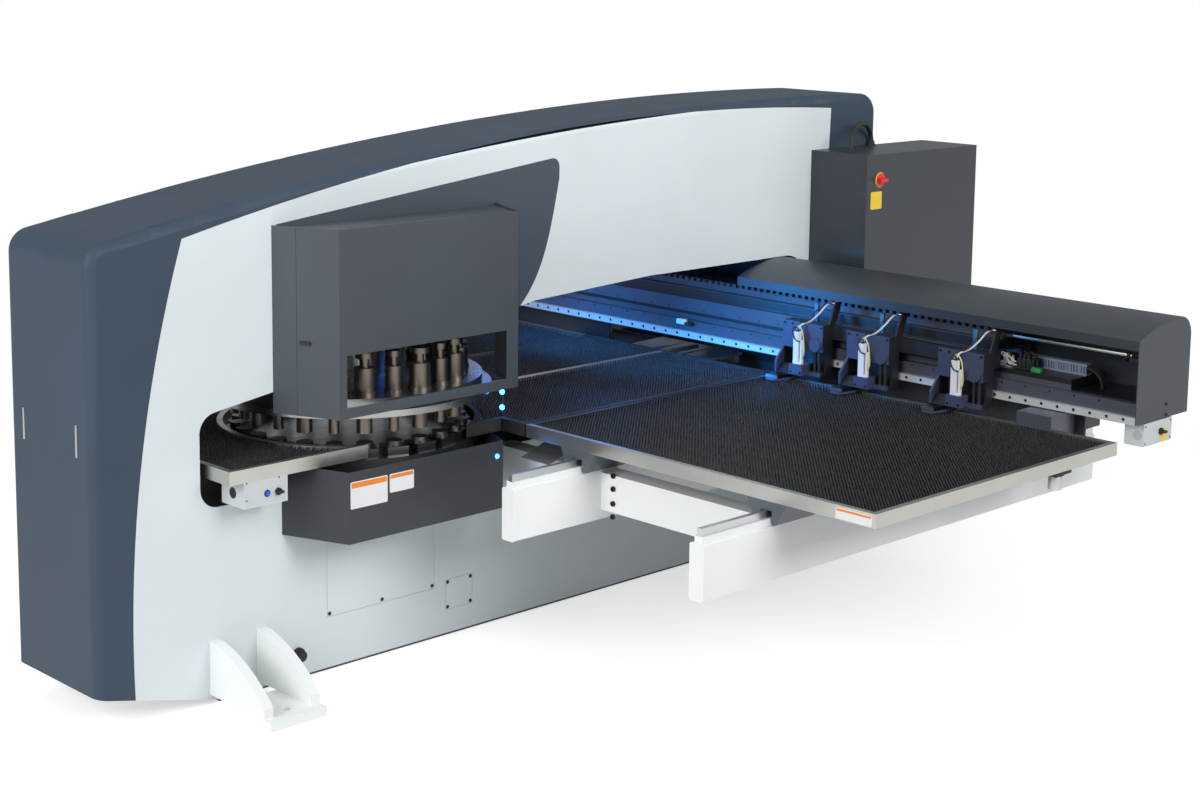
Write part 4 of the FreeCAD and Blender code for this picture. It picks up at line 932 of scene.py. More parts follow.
class Grower(Tree):
    """A Geometry Nodes tree that repeats a form, turned into a plain mesh at the end."""

    def __init__(self, name: str, finish: Finish) -> None:
        """Start a tree.

        Args:
            name: Name of the tree.
            finish: Finish that the tree sets.
        """
        super().__init__(bpy.data.node_groups.new(name, "GeometryNodeTree"))
        for way in ("INPUT", "OUTPUT"):
            self.tree.interface.new_socket("Geometry", in_out=way,
                                           socket_type="NodeSocketGeometry")
        self.inputs: dict[str, str] = {}
        self.finish = finish
        self.source: bpy.types.Node | None = None

    def size(self, name: str, kind: str = "NodeSocketFloat") -> None:
        """Add a named input.

        Args:
            name: The input's name.
            kind: Its socket type.
        """
        item = self.tree.interface.new_socket(name, in_out="INPUT", socket_type=kind)
        self.inputs[name] = item.identifier

    def value(self, name: str) -> bpy.types.NodeSocket:
        """Output socket of a named input.

        Args:
            name: The input's name.

        Returns:
            The socket inside the tree.
        """
        if self.source is None:
            self.source = self.tree.nodes.new("NodeGroupInput")
        return self.source.outputs[name]

    def close(self, instances: bpy.types.Node) -> None:
        """End the tree in real geometry with its finish.

        Args:
            instances: The node whose geometry is the result.
        """
        real = self.node("GeometryNodeRealizeInstances", {0: instances})
        done = self.node("GeometryNodeSetMaterial",
                         {"Geometry": real, "Material": self.finish.material()})
        self.node("NodeGroupOutput", {0: done})

    def grow(self, name: str, base: bpy.types.Mesh, body: str,
             **sizes: object) -> bpy.types.Object:
        """Run the tree on a mesh and keep the result as a piece.

        Args:
            name: The piece's name.
            base: Mesh that the tree starts from.
            body: The body that carries the piece.
            **sizes: A value for each named input.

        Returns:
            The new object.
        """
        host = bpy.data.objects.new(f"{name}_host", base)
        bpy.context.scene.collection.objects.link(host)
        modifier = host.modifiers.new("grow", "NODES")
        modifier.node_group = self.tree
        for key, value in sizes.items():
            modifier[self.inputs[key]] = value
        graph = bpy.context.evaluated_depsgraph_get()
        data = bpy.data.meshes.new_from_object(host.evaluated_get(graph))
        host.modifiers.clear()
        bpy.data.objects.remove(host)
        return adopt(name, data, self.finish, body)


def tuft_grower() -> Grower:
    """Tree that stands a leaning tuft on every point of its mesh.

    Returns:
        The tree.
    """
    grower = Grower("bristle_tufts", Finish.BRUSH)
    for name in ("Height", "Foot", "Tip", "Lean"):
        grower.size(name)
    grower.size("Seed", "NodeSocketInt")
    tuft = grower.node("GeometryNodeMeshCone",
                       {"Vertices": 4, "Radius Top": grower.value("Tip"),
                        "Radius Bottom": grower.value("Foot"), "Depth": grower.value("Height")})
    lean = grower.value("Lean")
    back = grower.node("ShaderNodeMath", {0: lean, 1: -1.0}, operation="MULTIPLY")
    low = grower.node("ShaderNodeCombineXYZ", {0: back, 1: back})
    high = grower.node("ShaderNodeCombineXYZ", {0: lean, 1: lean, 2: math.pi})
    turn = grower.node("FunctionNodeRandomValue",
                       {"Min": low, "Max": high, "Seed": grower.value("Seed")},
                       data_type="FLOAT_VECTOR")
    euler = grower.node("FunctionNodeEulerToRotation", {0: turn.outputs["Value"]})
    grower.close(grower.node("GeometryNodeInstanceOnPoints",
                             {"Points": grower.value("Geometry"),
                              "Instance": tuft.outputs["Mesh"], "Rotation": euler}))
    return grower


def head_grower(finish: Finish, template: bpy.types.Object) -> Grower:
    """Tree that sets a fastener head on every point, facing along its attribute.

    Args:
        finish: Finish of the heads.
        template: The head, one metre in radius, facing +Z.

    Returns:
        The tree.
    """
    grower = Grower(f"heads_{finish.name.lower()}", finish)
    grower.size("Radius")
    facing = grower.node("GeometryNodeInputNamedAttribute", {"Name": "facing"},
                         data_type="FLOAT_VECTOR")
    turn = grower.node("FunctionNodeAlignRotationToVector", {"Vector": facing}, axis="Z")
    head = grower.node("GeometryNodeObjectInfo", {"Object": template})
    grower.close(grower.node("GeometryNodeInstanceOnPoints",
                             {"Points": grower.value("Geometry"),
                              "Instance": head.outputs["Geometry"], "Rotation": turn,
                              "Scale": grower.value("Radius")}))
    return grower


def points_mesh(points: Iterable[Point], facing: Point | None = None) -> bpy.types.Mesh:
    """Mesh of loose points, with the way that each one faces.

    Args:
        points: Places of the points.
        facing: Common direction, kept as an attribute.

    Returns:
        The mesh.
    """
    places = [tuple(point) for point in points]
    data = bpy.data.meshes.new("points")
    data.from_pydata(places, [], [])
    if facing is not None:
        kept = data.attributes.new("facing", "FLOAT_VECTOR", "POINT")
        for item in kept.data:
            item.vector = facing
    return data


class Head(Enum):
    """Kinds of fastener head: radius and height pairs of the outline, and flats round it."""

    SOCKET = ((1.0, 0), (1.0, 0.75), (0.9, 0.85), (0.56, 0.85), (0.5, 0.35), (0, 0.35)), 12
    BUTTON = ((1.0, 0), (0.96, 0.22), (0.75, 0.42), (0.42, 0.5), (0.38, 0.22), (0, 0.22)), 12
    BORE = ((1.0, 0), (1.0, 0.03), (0.94, 0.05), (0, 0.05)), 16


class Fasteners:
    """Screw and bolt heads, set by Geometry Nodes."""

    def __init__(self) -> None:
        """Make the template of each kind of head."""
        self.templates = {kind: self.template(kind) for kind in Head}

    @staticmethod
    def template(kind: Head) -> bpy.types.Object:
        """A head one metre in radius that stands on its foot.

        Args:
            kind: Which head.

        Returns:
            The template, which isn't part of the scene.
        """
        outline, sides = kind.value
        name = f"{kind.name.lower()}_head"
        shape = Shape().revolve((0, 0, 0), outline, sides=sides)
        return bpy.data.objects.new(name, shape.settle(name))

    def drive(self, name: str, kind: Head, finish: Finish, points: Iterable[Point],
              facing: Point, radius: float, body: str) -> None:
        """Set a group of heads.

        Args:
            name: Name of the piece.
            kind: Which head.
            finish: Its finish.
            points: Where the heads stand.
            facing: The way that they face.
            radius: Radius of a head.
            body: The body that carries them.
        """
        grower = head_grower(finish, self.templates[kind])
        grower.grow(name, points_mesh(points, facing), body, Radius=radius)

    def close(self) -> None:
        """Remove the templates."""
        for template in self.templates.values():
            bpy.data.objects.remove(template)


@dataclass
class Fittings:
    """Small pieces of one sub-assembly; those that have screws take them from here."""

    fasteners: Fasteners


# --- brush tables ------------------------------------------------------------------------

@dataclass
class BrushField:
    """Bristle tufts over one table."""

    node: str
    body: str
    pitch_x: float = 0.0160
    pitch_y: float = 0.0174
    height: float = 0.020
    foot: float = 0.0025
    tip: float = 0.0034
    sunk: float = 0.001
    lean: float = 0.055
    border: float = 0.006
    bay_radius: float = 0.0
    step_x: float = 10.0
    step_y: float = 0.0
    base_thickness: float = 0.007
    seam: tuple[float, float] = (10.0, 10.0)

    def spots(self) -> list[tuple[float, float, float]]:
        """Places of the tufts, clear of the turret bay, of the table's step and of its seam.

        Returns:
            The places.
        """
        low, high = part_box(self.node)
        level = high[2] - self.height - self.sunk
        columns = int((high[0] - low[0] - 2 * self.border) / self.pitch_x)
        rows = int((high[1] - low[1] - 2 * self.border) / self.pitch_y)
        left = (low[0] + high[0] - columns * self.pitch_x) / 2
        front = (low[1] + high[1] - rows * self.pitch_y) / 2
        spots = []
        for row in range(rows + 1):
            for column in range(columns + 1):
                x, y = left + column * self.pitch_x, front + row * self.pitch_y
                clear_of_bay = math.hypot(x, y) > self.bay_radius + self.border
                clear_of_step = abs(x) < self.step_x - self.border or y > self.step_y
                clear_of_seam = not self.seam[0] < x < self.seam[1]
                if clear_of_bay and clear_of_step and clear_of_seam:
                    spots.append((x, y, level))
        return spots

    def build(self, grower: Grower, seed: int) -> None:
        """Grow the tufts and lay the board that they stand in.

        Args:
            grower: The tuft tree.
            seed: Seed of their lean.
        """
        tufts = grower.grow(f"{self.node}_tufts", points_mesh(self.spots()), self.body,
                            Height=self.height, Foot=self.foot, Tip=self.tip, Lean=self.lean,
                            Seed=seed)
        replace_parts(tufts, self.node)
        board = Shape()
        board.mesh.from_mesh(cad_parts[self.node].data)
        bmesh.ops.remove_doubles(board.mesh, verts=board.mesh.verts[:], dist=1e-6)
        everything = board.mesh.verts[:] + board.mesh.edges[:] + board.mesh.faces[:]
        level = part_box(self.node)[0][2] + self.base_thickness
        cut = bmesh.ops.bisect_plane(board.mesh, geom=everything, plane_co=(0, 0, level),
                                     plane_no=(0, 0, 1), clear_outer=True)
        rim = [item for item in cut["geom_cut"] if isinstance(item, bmesh.types.BMEdge)]
        bmesh.ops.contextual_create(board.mesh, geom=rim)
        name = f"{self.node}_board"
        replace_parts(adopt(name, board.settle(name), Finish.BRUSH, self.body), self.node)


@dataclass
class BrushTables:
    """All the brush fields."""

    fields: tuple[BrushField, ...] = (
        BrushField("wing_brushes_right", "y_carriage"),
        BrushField("wing_brushes_left", "y_carriage"),
        BrushField("front_table_brushes", "frame", bay_radius=0.553),
        BrushField("centre_table_brushes", "frame", bay_radius=0.553, step_x=0.439,
                   step_y=0.476, seam=(-0.140, -0.086)),
    )

    def build(self) -> None:
        """Grow every field."""
        grower = tuft_grower()
        for seed, brushes in enumerate(self.fields, start=11):
            brushes.build(grower, seed)
        fit("table_seam_strip", Finish.EDGE, "frame",
            [((-0.116, 0.620, 0.938), (-0.088, 2.270, 0.9565), 0.001)])


# --- fittings ----------------------------------------------------------------------------

def line_mesh(routes: Iterable[Sequence[Point]]) -> bpy.types.Mesh:
    """Mesh of open lines, one for each route.

    Args:
        routes: The points of each line.

    Returns:
        The mesh.
    """
    verts, edges = [], []
    for route in routes:
        start = len(verts)
        verts.extend(tuple(point) for point in route)
        edges.extend((start + step, start + step + 1) for step in range(len(route) - 1))
    data = bpy.data.meshes.new("lines")
    data.from_pydata(verts, edges, [])
    return data


def cable_grower(finish: Finish) -> Grower:
    """Tree that lays a smooth round cable along every line of its mesh.

    Args:
        finish: Finish of the cable.

    Returns:
        The tree.
    """
    grower = Grower(f"cables_{finish.name.lower()}", finish)
    grower.size("Radius")
    line = grower.node("GeometryNodeMeshToCurve", {0: grower.value("Geometry")})
    smooth = grower.node("GeometryNodeCurveSplineType", {"Curve": line},
                         spline_type="CATMULL_ROM")
    fine = grower.node("GeometryNodeSetSplineResolution", {"Geometry": smooth, "Resolution": 8})
    ring = grower.node("GeometryNodeCurvePrimitiveCircle",
                       {"Resolution": 12, "Radius": grower.value("Radius")})
    grower.close(grower.node("GeometryNodeCurveToMesh",
                             {"Curve": fine, "Profile Curve": ring, "Fill Caps": True}))
    return grower


def lay(name: str, finish: Finish, radius: float, body: str,
        routes: Iterable[Sequence[Point]]) -> None:
    """Lay a group of cables or hoses that are held at both ends.

    Args:
        name: Name of the piece.
        finish: Its finish.
        radius: Radius of each cable.
        body: The body that carries them.
        routes: The points of each cable.
    """
    cable_grower(finish).grow(name, line_mesh(routes), body, Radius=radius)


@dataclass
class FrameFittings(Fittings):
    """What is on the frame's covers: screws, handle slots and cable plug."""

    side: float = 0.300
    screw_radius: float = 0.0085
    cover_screws: tuple[tuple[float, float], ...] = (
        (-0.336, 0.236), (-0.066, 0.236), (0.203, 0.236))
    hatch_screws: tuple[tuple[float, float], ...] = (
        (0.289, 0.124), (0.417, 0.124), (0.289, 0.234), (0.417, 0.234))
    slot_x: float = 0.193
    slot_low: float = 1.045
    slot_high: float = 1.168
    slot_half: float = 0.006
    front: float = -1.400
    plug: tuple[float, float] = (-0.494, 0.100)

    def build(self) -> None:
        """Make the fittings."""
        spots = [(self.side, y, z) for y, z in self.cover_screws + self.hatch_screws]
        self.fasteners.drive("panel_screws", Head.BUTTON, Finish.SCREW, spots, (1, 0, 0),
                             self.screw_radius, "frame")
        self.handle_slots()
        y, z = self.plug
        Shape().revolve((self.side - 0.001, y, z),
                        [(0.030, 0), (0.030, 0.012), (0.022, 0.014), (0.022, 0.034),
                         (0.018, 0.038), (0, 0.038)],
                        axis=(1, 0, 0)).done("cable_plug", Finish.BLACK, "frame")

    def handle_slots(self) -> None:
        """Make the two narrow grip slots of the front cover."""
        for name, x in (("left", -self.slot_x), ("right", self.slot_x)):
            layers = (
                (f"handle_slot_{name}_rim", Finish.BLACK, self.slot_half + 0.002, 0.003,
                 self.front - 0.0002, self.front + 0.002),
                (f"handle_slot_{name}", Finish.EDGE, self.slot_half, 0.0,
                 self.front - 0.0004, self.front + 0.001))
            for label, finish, half, margin, near, far in layers:
                fit(label, finish, "frame", [((x - half, near, self.slot_low - margin),
                                              (x + half, far, self.slot_high + margin), 0.0001)])


@dataclass
class BarePlates:
    """Blank label plates, each a thin sheet with rounded corners, some with a colour band."""

    thickness: float = 0.0012
    corner: float = 0.004
    band_share: float = 0.20

    def plate(self, name: str, finish: Finish, body: str, spot: Point, along: Point,
              width: float, height: float, band: Finish | None = None) -> None:
        """Set an upright plate on a face.

        Args:
            name: Name of the piece.
            finish: Finish of the plate.
            body: The body that carries it.
            spot: Its lowest corner on the face, at the near end.
            along: Direction of its width.
            width: Its width.
            height: Its height.
            band: Finish of the band at its top, if it has one.
        """
        start, across, rise = Vector(spot), Vector(along), Vector((0, 0, 1))
        out = across.cross(rise) * self.thickness
        cut = self.corner
        corners = ((cut, 0), (width - cut, 0), (width, cut), (width, height - cut),
                   (width - cut, height), (cut, height), (0, height - cut), (0, cut))
        sheet = Shape().plate([start + across * a + rise * b for a, b in corners], out)
        sheet.done(name, finish, body)
        if band is not None:
            depth = height * self.band_share
            top = start + rise * (height - depth - cut) + across * cut + out
            stripe = Shape().plate([top, top + across * (width - 2 * cut),
                                    top + across * (width - 2 * cut) + rise * depth,
                                    top + rise * depth], out * 0.2)
            stripe.done(f"{name}_band", band, body)

    def build(self) -> None:
        """Set every plate of the machine."""
        on_side, on_edge = (0, 1, 0), (1, 0, 0)
        self.plate("skirt_plate_large", Finish.LABEL, "frame", (0.590, -0.447, 0.752), on_side,
                   0.182, 0.108, Finish.ORANGE)
        self.plate("skirt_plate_small", Finish.LABEL, "frame", (0.590, -0.254, 0.784), on_side,
                   0.122, 0.076, Finish.ORANGE)
        self.plate("wing_edge_plate", Finish.LABEL, "y_carriage", (2.270, 0.445, 0.907),
                   on_edge, 0.165, 0.042, Finish.ORANGE)
        self.plate("cabinet_plate", Finish.YELLOW, "cabinet_door", (0.650, 2.680, 1.682),
                   on_side, 0.086, 0.086)
        self.plate("hood_box_plate", Finish.YELLOW, "y_carriage", (2.490, 2.300, 0.926),
                   on_side, 0.048, 0.050)


@dataclass
class ControlBoxes(Fittings):
    """Knock-outs, bezels, lid screws and switch rings of the small boxes and the cabinet."""

    bezel: float = 0.0025

    @staticmethod
    def disc(name: str, finish: Finish, body: str, centre: Point, axis: Point, radius: float,
             height: float) -> None:
        """Set a shallow round disc with a softened rim.

        Args:
            name: Name of the piece.
            finish: Its finish.
            body: The body that carries it.
            centre: Middle of its foot.
            axis: The way that it faces.
            radius: Its radius.
            height: Its height.
        """
        edge = min(height, radius) * 0.4
        Shape().revolve(centre, [(radius, 0), (radius, height - edge), (radius - edge, height),
                                 (0, height)], axis=axis).done(name, finish, body)

    def build(self) -> None:
        """Make the fittings."""
        self.disc("front_box_knockout", Finish.BLACK, "frame", (0.385, -0.850, 0.8515),
                  (0, -1, 0), 0.0218, 0.0015)
        self.disc("hood_box_knockout", Finish.BOX_SHADE, "y_carriage", (2.462, 2.170, 0.968),
                  (0, -1, 0), 0.021, 0.0015)
        low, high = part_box("front_button")
        self.disc("front_button_bezel", Finish.BLACK, "frame",
                  (0.460, (low[1] + high[1]) / 2, (low[2] + high[2]) / 2), (1, 0, 0),
                  (high[2] - low[2]) / 2 + 0.004, self.bezel)
        low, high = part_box("main_switch")
        self.disc("main_switch_ring", Finish.YELLOW, "cabinet_door",
                  (0.650, (low[1] + high[1]) / 2, (low[2] + high[2]) / 2), (1, 0, 0),
                  0.037, 0.004)
        lids = (("front_box_screws", "frame", 0.0035, 0.460, (-0.838, -0.690), (0.832, 0.900)),
                ("hood_box_screws", "y_carriage", 0.004, 2.490, (2.182, 2.378),
                 (0.934, 1.006)))
        for name, body, radius, x, along, up in lids:
            self.fasteners.drive(name, Head.BUTTON, Finish.SCREW,
                                 [(x, y, z) for y in along for z in up], (1, 0, 0), radius, body)


@dataclass
class WorkLamps:
    """Blue lamps in the sheet gap and round the turret, their light, and a painted reflection on
    the skirt.
    """

    tint: Colour = (0.004, 0.31, 1.0)
    spread: float = 62.0
    glows: tuple[tuple[str, Point, Point, float, float], ...] = (
        ("throat_glow_front", (-0.10, 1.15, 1.37), (0.18, 2.15, 1.00), 0.40, 6.5),
        ("throat_glow_side", (0.05, 1.20, 1.36), (0.86, 2.15, 1.00), 0.40, 4.5),
        ("throat_glow_rear", (-0.15, 1.30, 1.38), (-0.80, 2.15, 1.00), 0.34, 7.0),
        ("throat_glow_table", (0.05, 0.95, 1.37), (0.60, 1.15, 0.95), 0.30, 2.0),
    )

    def build(self) -> None:
        """Make the lamps, their light and the painted reflection on the skirt."""
        bars = {
            "throat_lamp_front": ((-0.18, 0.86, 1.396), (0.24, 0.90, 1.404)),
            "throat_lamp_rear": ((-0.18, 1.50, 1.424), (0.24, 1.54, 1.434)),
        }
        for name, (low, high) in bars.items():
            fit(name, Finish.LAMP, "frame", [(low, high, 0.003)])
        fit("turret_lamp_holder", Finish.BLACK, "frame",
            [((0.420, 0.468, 0.932), (0.444, 0.492, 0.938), 0.001)],
            [((0.432, 0.480, 0.936), (0.432, 0.480, 1.088), 0.007, 0.001)])
        for name, level in (("turret_lamp_upper", 1.062), ("turret_lamp_lower", 0.995)):
            Shape().revolve((0.436, 0.474, level),
                            [(0.010, 0), (0.010, 0.010), (0.006, 0.014), (0, 0.014)],
                            axis=(0.8, -0.6, 0)).done(name, Finish.LAMP, "frame")
        # Painted reflection: a glowing disc on the skirt stands for the lamps' blue reflection
        # there.
        Shape().revolve((0.590, 0.311, 0.838), [(0.009, 0), (0.009, 0.003), (0, 0.006)],
                        axis=(1, 0, 0)).done("skirt_lamp", Finish.LAMP, "frame")
        for name, place, aim, size, power in self.glows:
            Studio.area(name, place, aim, size, power, self.tint, self.spread)


@dataclass
class BeamFittings(Fittings):
    """Bolts of the cross members."""

    face: float = 0.552
    column: float = 1.035
    heights: tuple[float, ...] = (0.800, 0.745, 0.683, 0.628)

    def build(self) -> None:
        """Make the fittings."""
        for side, sign in (("right", 1), ("left", -1)):
            spots = [(sign * self.column, self.face, z) for z in self.heights]
            self.fasteners.drive(f"cross_bolts_{side}", Head.SOCKET, Finish.SCREW, spots,
                                 (0, -1, 0), 0.0115, "frame")


@dataclass
class ClampFittings(Fittings):
    """Cables, hoses, covers and screws of the three sheet clamps."""

    stations: tuple[float, ...] = (0.725, 1.105, 1.610)

    def routes(self, offsets: Sequence[Point]) -> list[list[Point]]:
        """The same route at every clamp.

        Args:
            offsets: Points of the route, with X from the clamp's middle.

        Returns:
            A route for each clamp.
        """
        return [[(x + dx, y, z) for dx, y, z in offsets] for x in self.stations]

    def build(self) -> None:
        """Make the fittings."""
        lay("clamp_sensor_cables", Finish.CABLE_YELLOW, 0.0028, "x_carriage", self.routes((
            (0.064, 1.981, 1.184), (0.066, 1.979, 1.206), (0.086, 1.972, 1.214),
            (0.108, 1.968, 1.190), (0.116, 1.970, 1.140), (0.112, 1.978, 1.090),
            (0.095, 1.984, 1.060), (0.094, 1.984, 1.046))))
        lay("clamp_black_cables", Finish.BLACK, 0.0030, "x_carriage", self.routes((
            (0.072, 1.981, 1.184), (0.074, 1.978, 1.200), (0.058, 1.970, 1.206),
            (0.052, 1.966, 1.180), (0.070, 1.964, 1.150), (0.092, 1.970, 1.142))) +
            self.routes((
                (0.184, 2.105, 1.312), (0.172, 2.060, 1.322), (0.140, 2.030, 1.290),
                (0.118, 2.006, 1.246), (0.084, 2.004, 1.226), (0.060, 2.008, 1.222))))
        lay("clamp_air_hoses", Finish.CABLE_WHITE, 0.0038, "x_carriage", self.routes((
            (0.186, 2.112, 1.318), (0.160, 2.080, 1.312), (0.138, 2.050, 1.272),
            (0.112, 2.020, 1.236), (0.076, 1.998, 1.216), (0.066, 1.986, 1.190))))
        for index, x in enumerate(self.stations, start=1):
            fit(f"clamp_post_cover_{index}", Finish.BLUE_TRIM, "x_carriage",
                [((x + 0.087, 2.077, 1.226), (x + 0.107, 2.0805, 1.314), 0.001)])
            fit(f"clamp_glands_{index}", Finish.BLACK, "x_carriage", rods=[
                ((x + offset, 1.981, 1.186), (x + offset, 1.981, 1.194), 0.0042, 0.0008, 12)
                for offset in (0.064, 0.073)])
        rows = (("clamp_head_screws", 0.0055, 2.0150, 1.212, (-0.036, 0.010, 0.178)),
                ("clamp_seat_screws", 0.0050, 1.9600, 0.998, (0.048, 0.105)))
        for name, radius, y, z, offsets in rows:
            spots = [(x + dx, y, z) for x in self.stations for dx in offsets]
            self.fasteners.drive(name, Head.SOCKET, Finish.SCREW, spots, (0, -1, 0), radius,
                                 "x_carriage")


@dataclass
class RailFittings(Fittings):
    """Screws, bores of painted shade, valves, hoses and small gear of the cross rail and its
    hoods.
    """

    hole_pitch: float = 0.0786
    hole_offset: float = 0.0718
    rail_half: float = 2.44
    rail_front: float = 2.104
    ledge_front: float = 2.1278
    rail_level: float = 1.039
    shelf: float = 1.149
    ledge_pitch: float = 0.12
    ledge_level: float = 1.094
    ledge_screws: range = range(-20, 20)

    def build(self) -> None:
        """Make the fittings."""
        count = int(self.rail_half / self.hole_pitch)
        bores = [(step * self.hole_pitch + self.hole_offset, self.rail_front + 0.0002,
                  self.rail_level) for step in range(-count, count)]
        ledges = [(step * self.ledge_pitch + 0.02, self.ledge_front, self.ledge_level)
                  for step in self.ledge_screws]
        ends = [(2.49, 2.335, 1.079), (2.49, 2.340, 1.032)]
        # The rail's bores are flat near-black discs of painted shade.
        rows = (("rail_screws", Head.BORE, Finish.BORE, bores, (0, -1, 0), 0.0072),
                ("hood_end_screws", Head.BUTTON, Finish.SCREW, ends, (1, 0, 0), 0.009),
                ("rail_face_screws", Head.BORE, Finish.SCREW, ledges, (0, -1, 0), 0.0050))
        for row in rows:
            self.fasteners.drive(*row, "y_carriage")
        fit("rail_limit_switch", Finish.WHITE_PLASTIC, "y_carriage",
            [((-0.090, 2.100, 1.086), (-0.040, 2.128, 1.110), 0.002)],
            [((-0.040, 2.114, 1.098), (-0.030, 2.114, 1.098), 0.006, 0.001)])
        fit("rail_limit_cam", Finish.BLACK, "y_carriage",
            [((-0.026, 2.098, 1.084), (0.006, 2.128, 1.100), 0.002)],
            [((-0.010, 2.106, 1.100), (-0.010, 2.106, 1.118), 0.006, 0.001)])
        self.valves()
        self.bar()

    def valves(self) -> None:
        """Make the air valves, the terminal and their hoses on the rail's shelf."""
        fit("air_valve_white", Finish.WHITE_PLASTIC, "y_carriage",
            [((1.762, 2.195, self.shelf), (1.822, 2.240, 1.172), 0.002),
             ((1.774, 2.200, 1.172), (1.796, 2.232, 1.200), 0.002)],
            [((1.812, 2.215, 1.172), (1.812, 2.215, 1.192), 0.008, 0.001),
             ((1.762, 2.215, 1.161), (1.752, 2.215, 1.161), 0.007, 0.001)])
        fit("air_valve_knobs", Finish.YELLOW, "y_carriage", rods=[
            ((1.785, 2.216, 1.200), (1.785, 2.216, 1.207), 0.008, 0.001),
            ((1.812, 2.215, 1.192), (1.812, 2.215, 1.199), 0.0065, 0.001)])
        lefts = [1.842 + step * 0.022 for step in range(4)]
        fit("air_valve_row", Finish.BLACK, "y_carriage",
            [((left, 2.205, self.shelf), (left + 0.019, 2.262, 1.196), 0.0015)
             for left in lefts] +
            [((left + 0.003, 2.212, 1.196), (left + 0.016, 2.238, 1.212), 0.0015)
             for left in lefts])
        lefts = [1.933 + step * 0.009 for step in range(5)]
        fit("green_terminal", Finish.GREEN, "y_carriage",
            [((1.930, 2.176, self.shelf), (1.978, 2.204, 1.166), 0.002)] +
            [((left, 2.180, 1.166), (left + 0.006, 2.198, 1.170), 0.0008) for left in lefts])
        lay("valve_hose_blue", Finish.BLUE_TUBE, 0.0050, "y_carriage", [(
            (1.752, 2.258, 1.206), (1.780, 2.256, 1.208), (1.812, 2.252, 1.209),
            (1.838, 2.246, 1.206), (1.850, 2.236, 1.204))])
        lay("valve_hoses_black", Finish.BLACK, 0.0035, "y_carriage", [
            ((1.852, 2.225, 1.208), (1.845, 2.215, 1.228), (1.822, 2.205, 1.224),
             (1.808, 2.205, 1.202), (1.812, 2.213, 1.186)),
            ((1.874, 2.225, 1.208), (1.872, 2.212, 1.226), (1.892, 2.200, 1.222),
             (1.910, 2.196, 1.195), (1.932, 2.190, 1.164)),
            ((1.896, 2.225, 1.208), (1.900, 2.220, 1.226), (1.925, 2.216, 1.216),
             (1.944, 2.206, 1.186), (1.950, 2.196, 1.166)),
            ((1.796, 2.200, 1.165), (1.806, 2.186, 1.162), (1.850, 2.182, 1.156),
             (1.900, 2.184, 1.155), (1.932, 2.186, 1.157))])
        lay("valve_hoses_pale", Finish.CABLE_WHITE, 0.0030, "y_carriage", [
            ((1.776, 2.204, 1.190), (1.768, 2.194, 1.204), (1.782, 2.184, 1.212),
             (1.812, 2.186, 1.200), (1.842, 2.196, 1.176)),
            ((1.790, 2.202, 1.184), (1.800, 2.188, 1.186), (1.826, 2.186, 1.170),
             (1.844, 2.198, 1.162))])

    def bar(self) -> None:
        """Make the thin bar under the hood's lip, its bracket and the lead beside it."""
        fit("hood_bar", Finish.EDGE, "y_carriage",
            [((1.752, 2.244, 1.270), (2.372, 2.256, 1.283), 0.0015)])
        fit("hood_bar_bracket", Finish.BLACK, "y_carriage",
            [((2.352, 2.238, 1.252), (2.425, 2.262, 1.270), 0.002),
             ((2.352, 2.238, 1.252), (2.366, 2.262, 1.290), 0.002),
             ((2.425, 2.236, 1.230), (2.487, 2.264, 1.278), 0.002)])
        lay("hood_bar_lead", Finish.BLACK, 0.0040, "y_carriage", [(
            (2.414, 2.250, 1.256), (2.416, 2.246, 1.230), (2.411, 2.240, 1.200),
            (2.417, 2.236, 1.165), (2.412, 2.230, 1.135), (2.420, 2.228, 1.108))])


@dataclass
class LowerFittings:
    """Sheets behind the centre table and between the beams, and the stop of the right table."""

    front: float = 2.062
    rear: float = 2.600
    level: float = 0.868
    sheet: float = 0.004
    folds_left: float = -0.560
    fold_pitch: float = 0.190
    fold_width: float = 0.180
    fold_rear: float = 2.500

    def build(self) -> None:
        """Make the floors, the stop, the folded sheets and the guards."""
        self.floors()
        self.stop()
        self.folds()
        fit("chute_rear_guard", Finish.SKIRT, "frame",
            [((-1.300, 2.594, 0.850), (0.290, 2.599, 1.012), 0.001)])
        fit("throat_gap_strip", Finish.SKIRT, "frame",
            [((-0.304, 2.452, 1.000), (-0.2965, 2.660, 1.450), 0.0015)])

    def floors(self) -> None:
        """Make the ribbed chute floors."""
        top = self.level + self.sheet
        ribs = [self.front + 0.09 + step * 0.18 for step in range(3)]
        for name, near, far in (("right", 0.302, 0.962), ("left", -0.962, -0.302)):
            fit(f"chute_floor_{name}", Finish.SKIRT, "frame",
                [((near, self.front, self.level), (far, self.rear, top), 0.001)] +
                [((near, y, top), (far, y + 0.020, top + 0.012), 0.004) for y in ribs])

    @staticmethod
    def stop() -> None:
        """Make the stop under the right table."""
        fit("wing_stop_mount", Finish.BLACK, "y_carriage",
            [((2.372, 1.600, 0.886), (2.444, 1.712, 0.9035), 0.002),
             ((2.384, 1.628, 0.876), (2.430, 1.684, 0.888), 0.002)])
        fit("wing_stop_cylinder", Finish.ZINC, "y_carriage",
            rods=[((2.406, 1.655, 0.878), (2.406, 1.655, 0.822), 0.028, 0.002)])

    def folds(self) -> None:
        """Make the sloping folded sheets and the bars under them."""
        folds = Shape()
        for step in range(3):
            left = self.folds_left + step * self.fold_pitch
            right = left + self.fold_width
            folds.plate([(left, self.front, 0.884), (right, self.front, 0.884),
                         (right, self.fold_rear, 0.896), (left, self.fold_rear, 0.896)],
                        (0, 0, self.sheet))
            folds.block((right - 0.012, self.front, 0.886), (right, self.fold_rear, 0.899),
                        0.002)
        folds.block((self.folds_left, self.front + 0.02, 0.872),
                    (0.000, self.front + 0.05, 0.886), 0.001)
        folds.block((self.folds_left, self.rear - 0.15, 0.852),
                    (0.000, self.rear - 0.12, 0.893), 0.001)
        folds.done("chute_fold_sheets", Finish.ZINC, "frame")


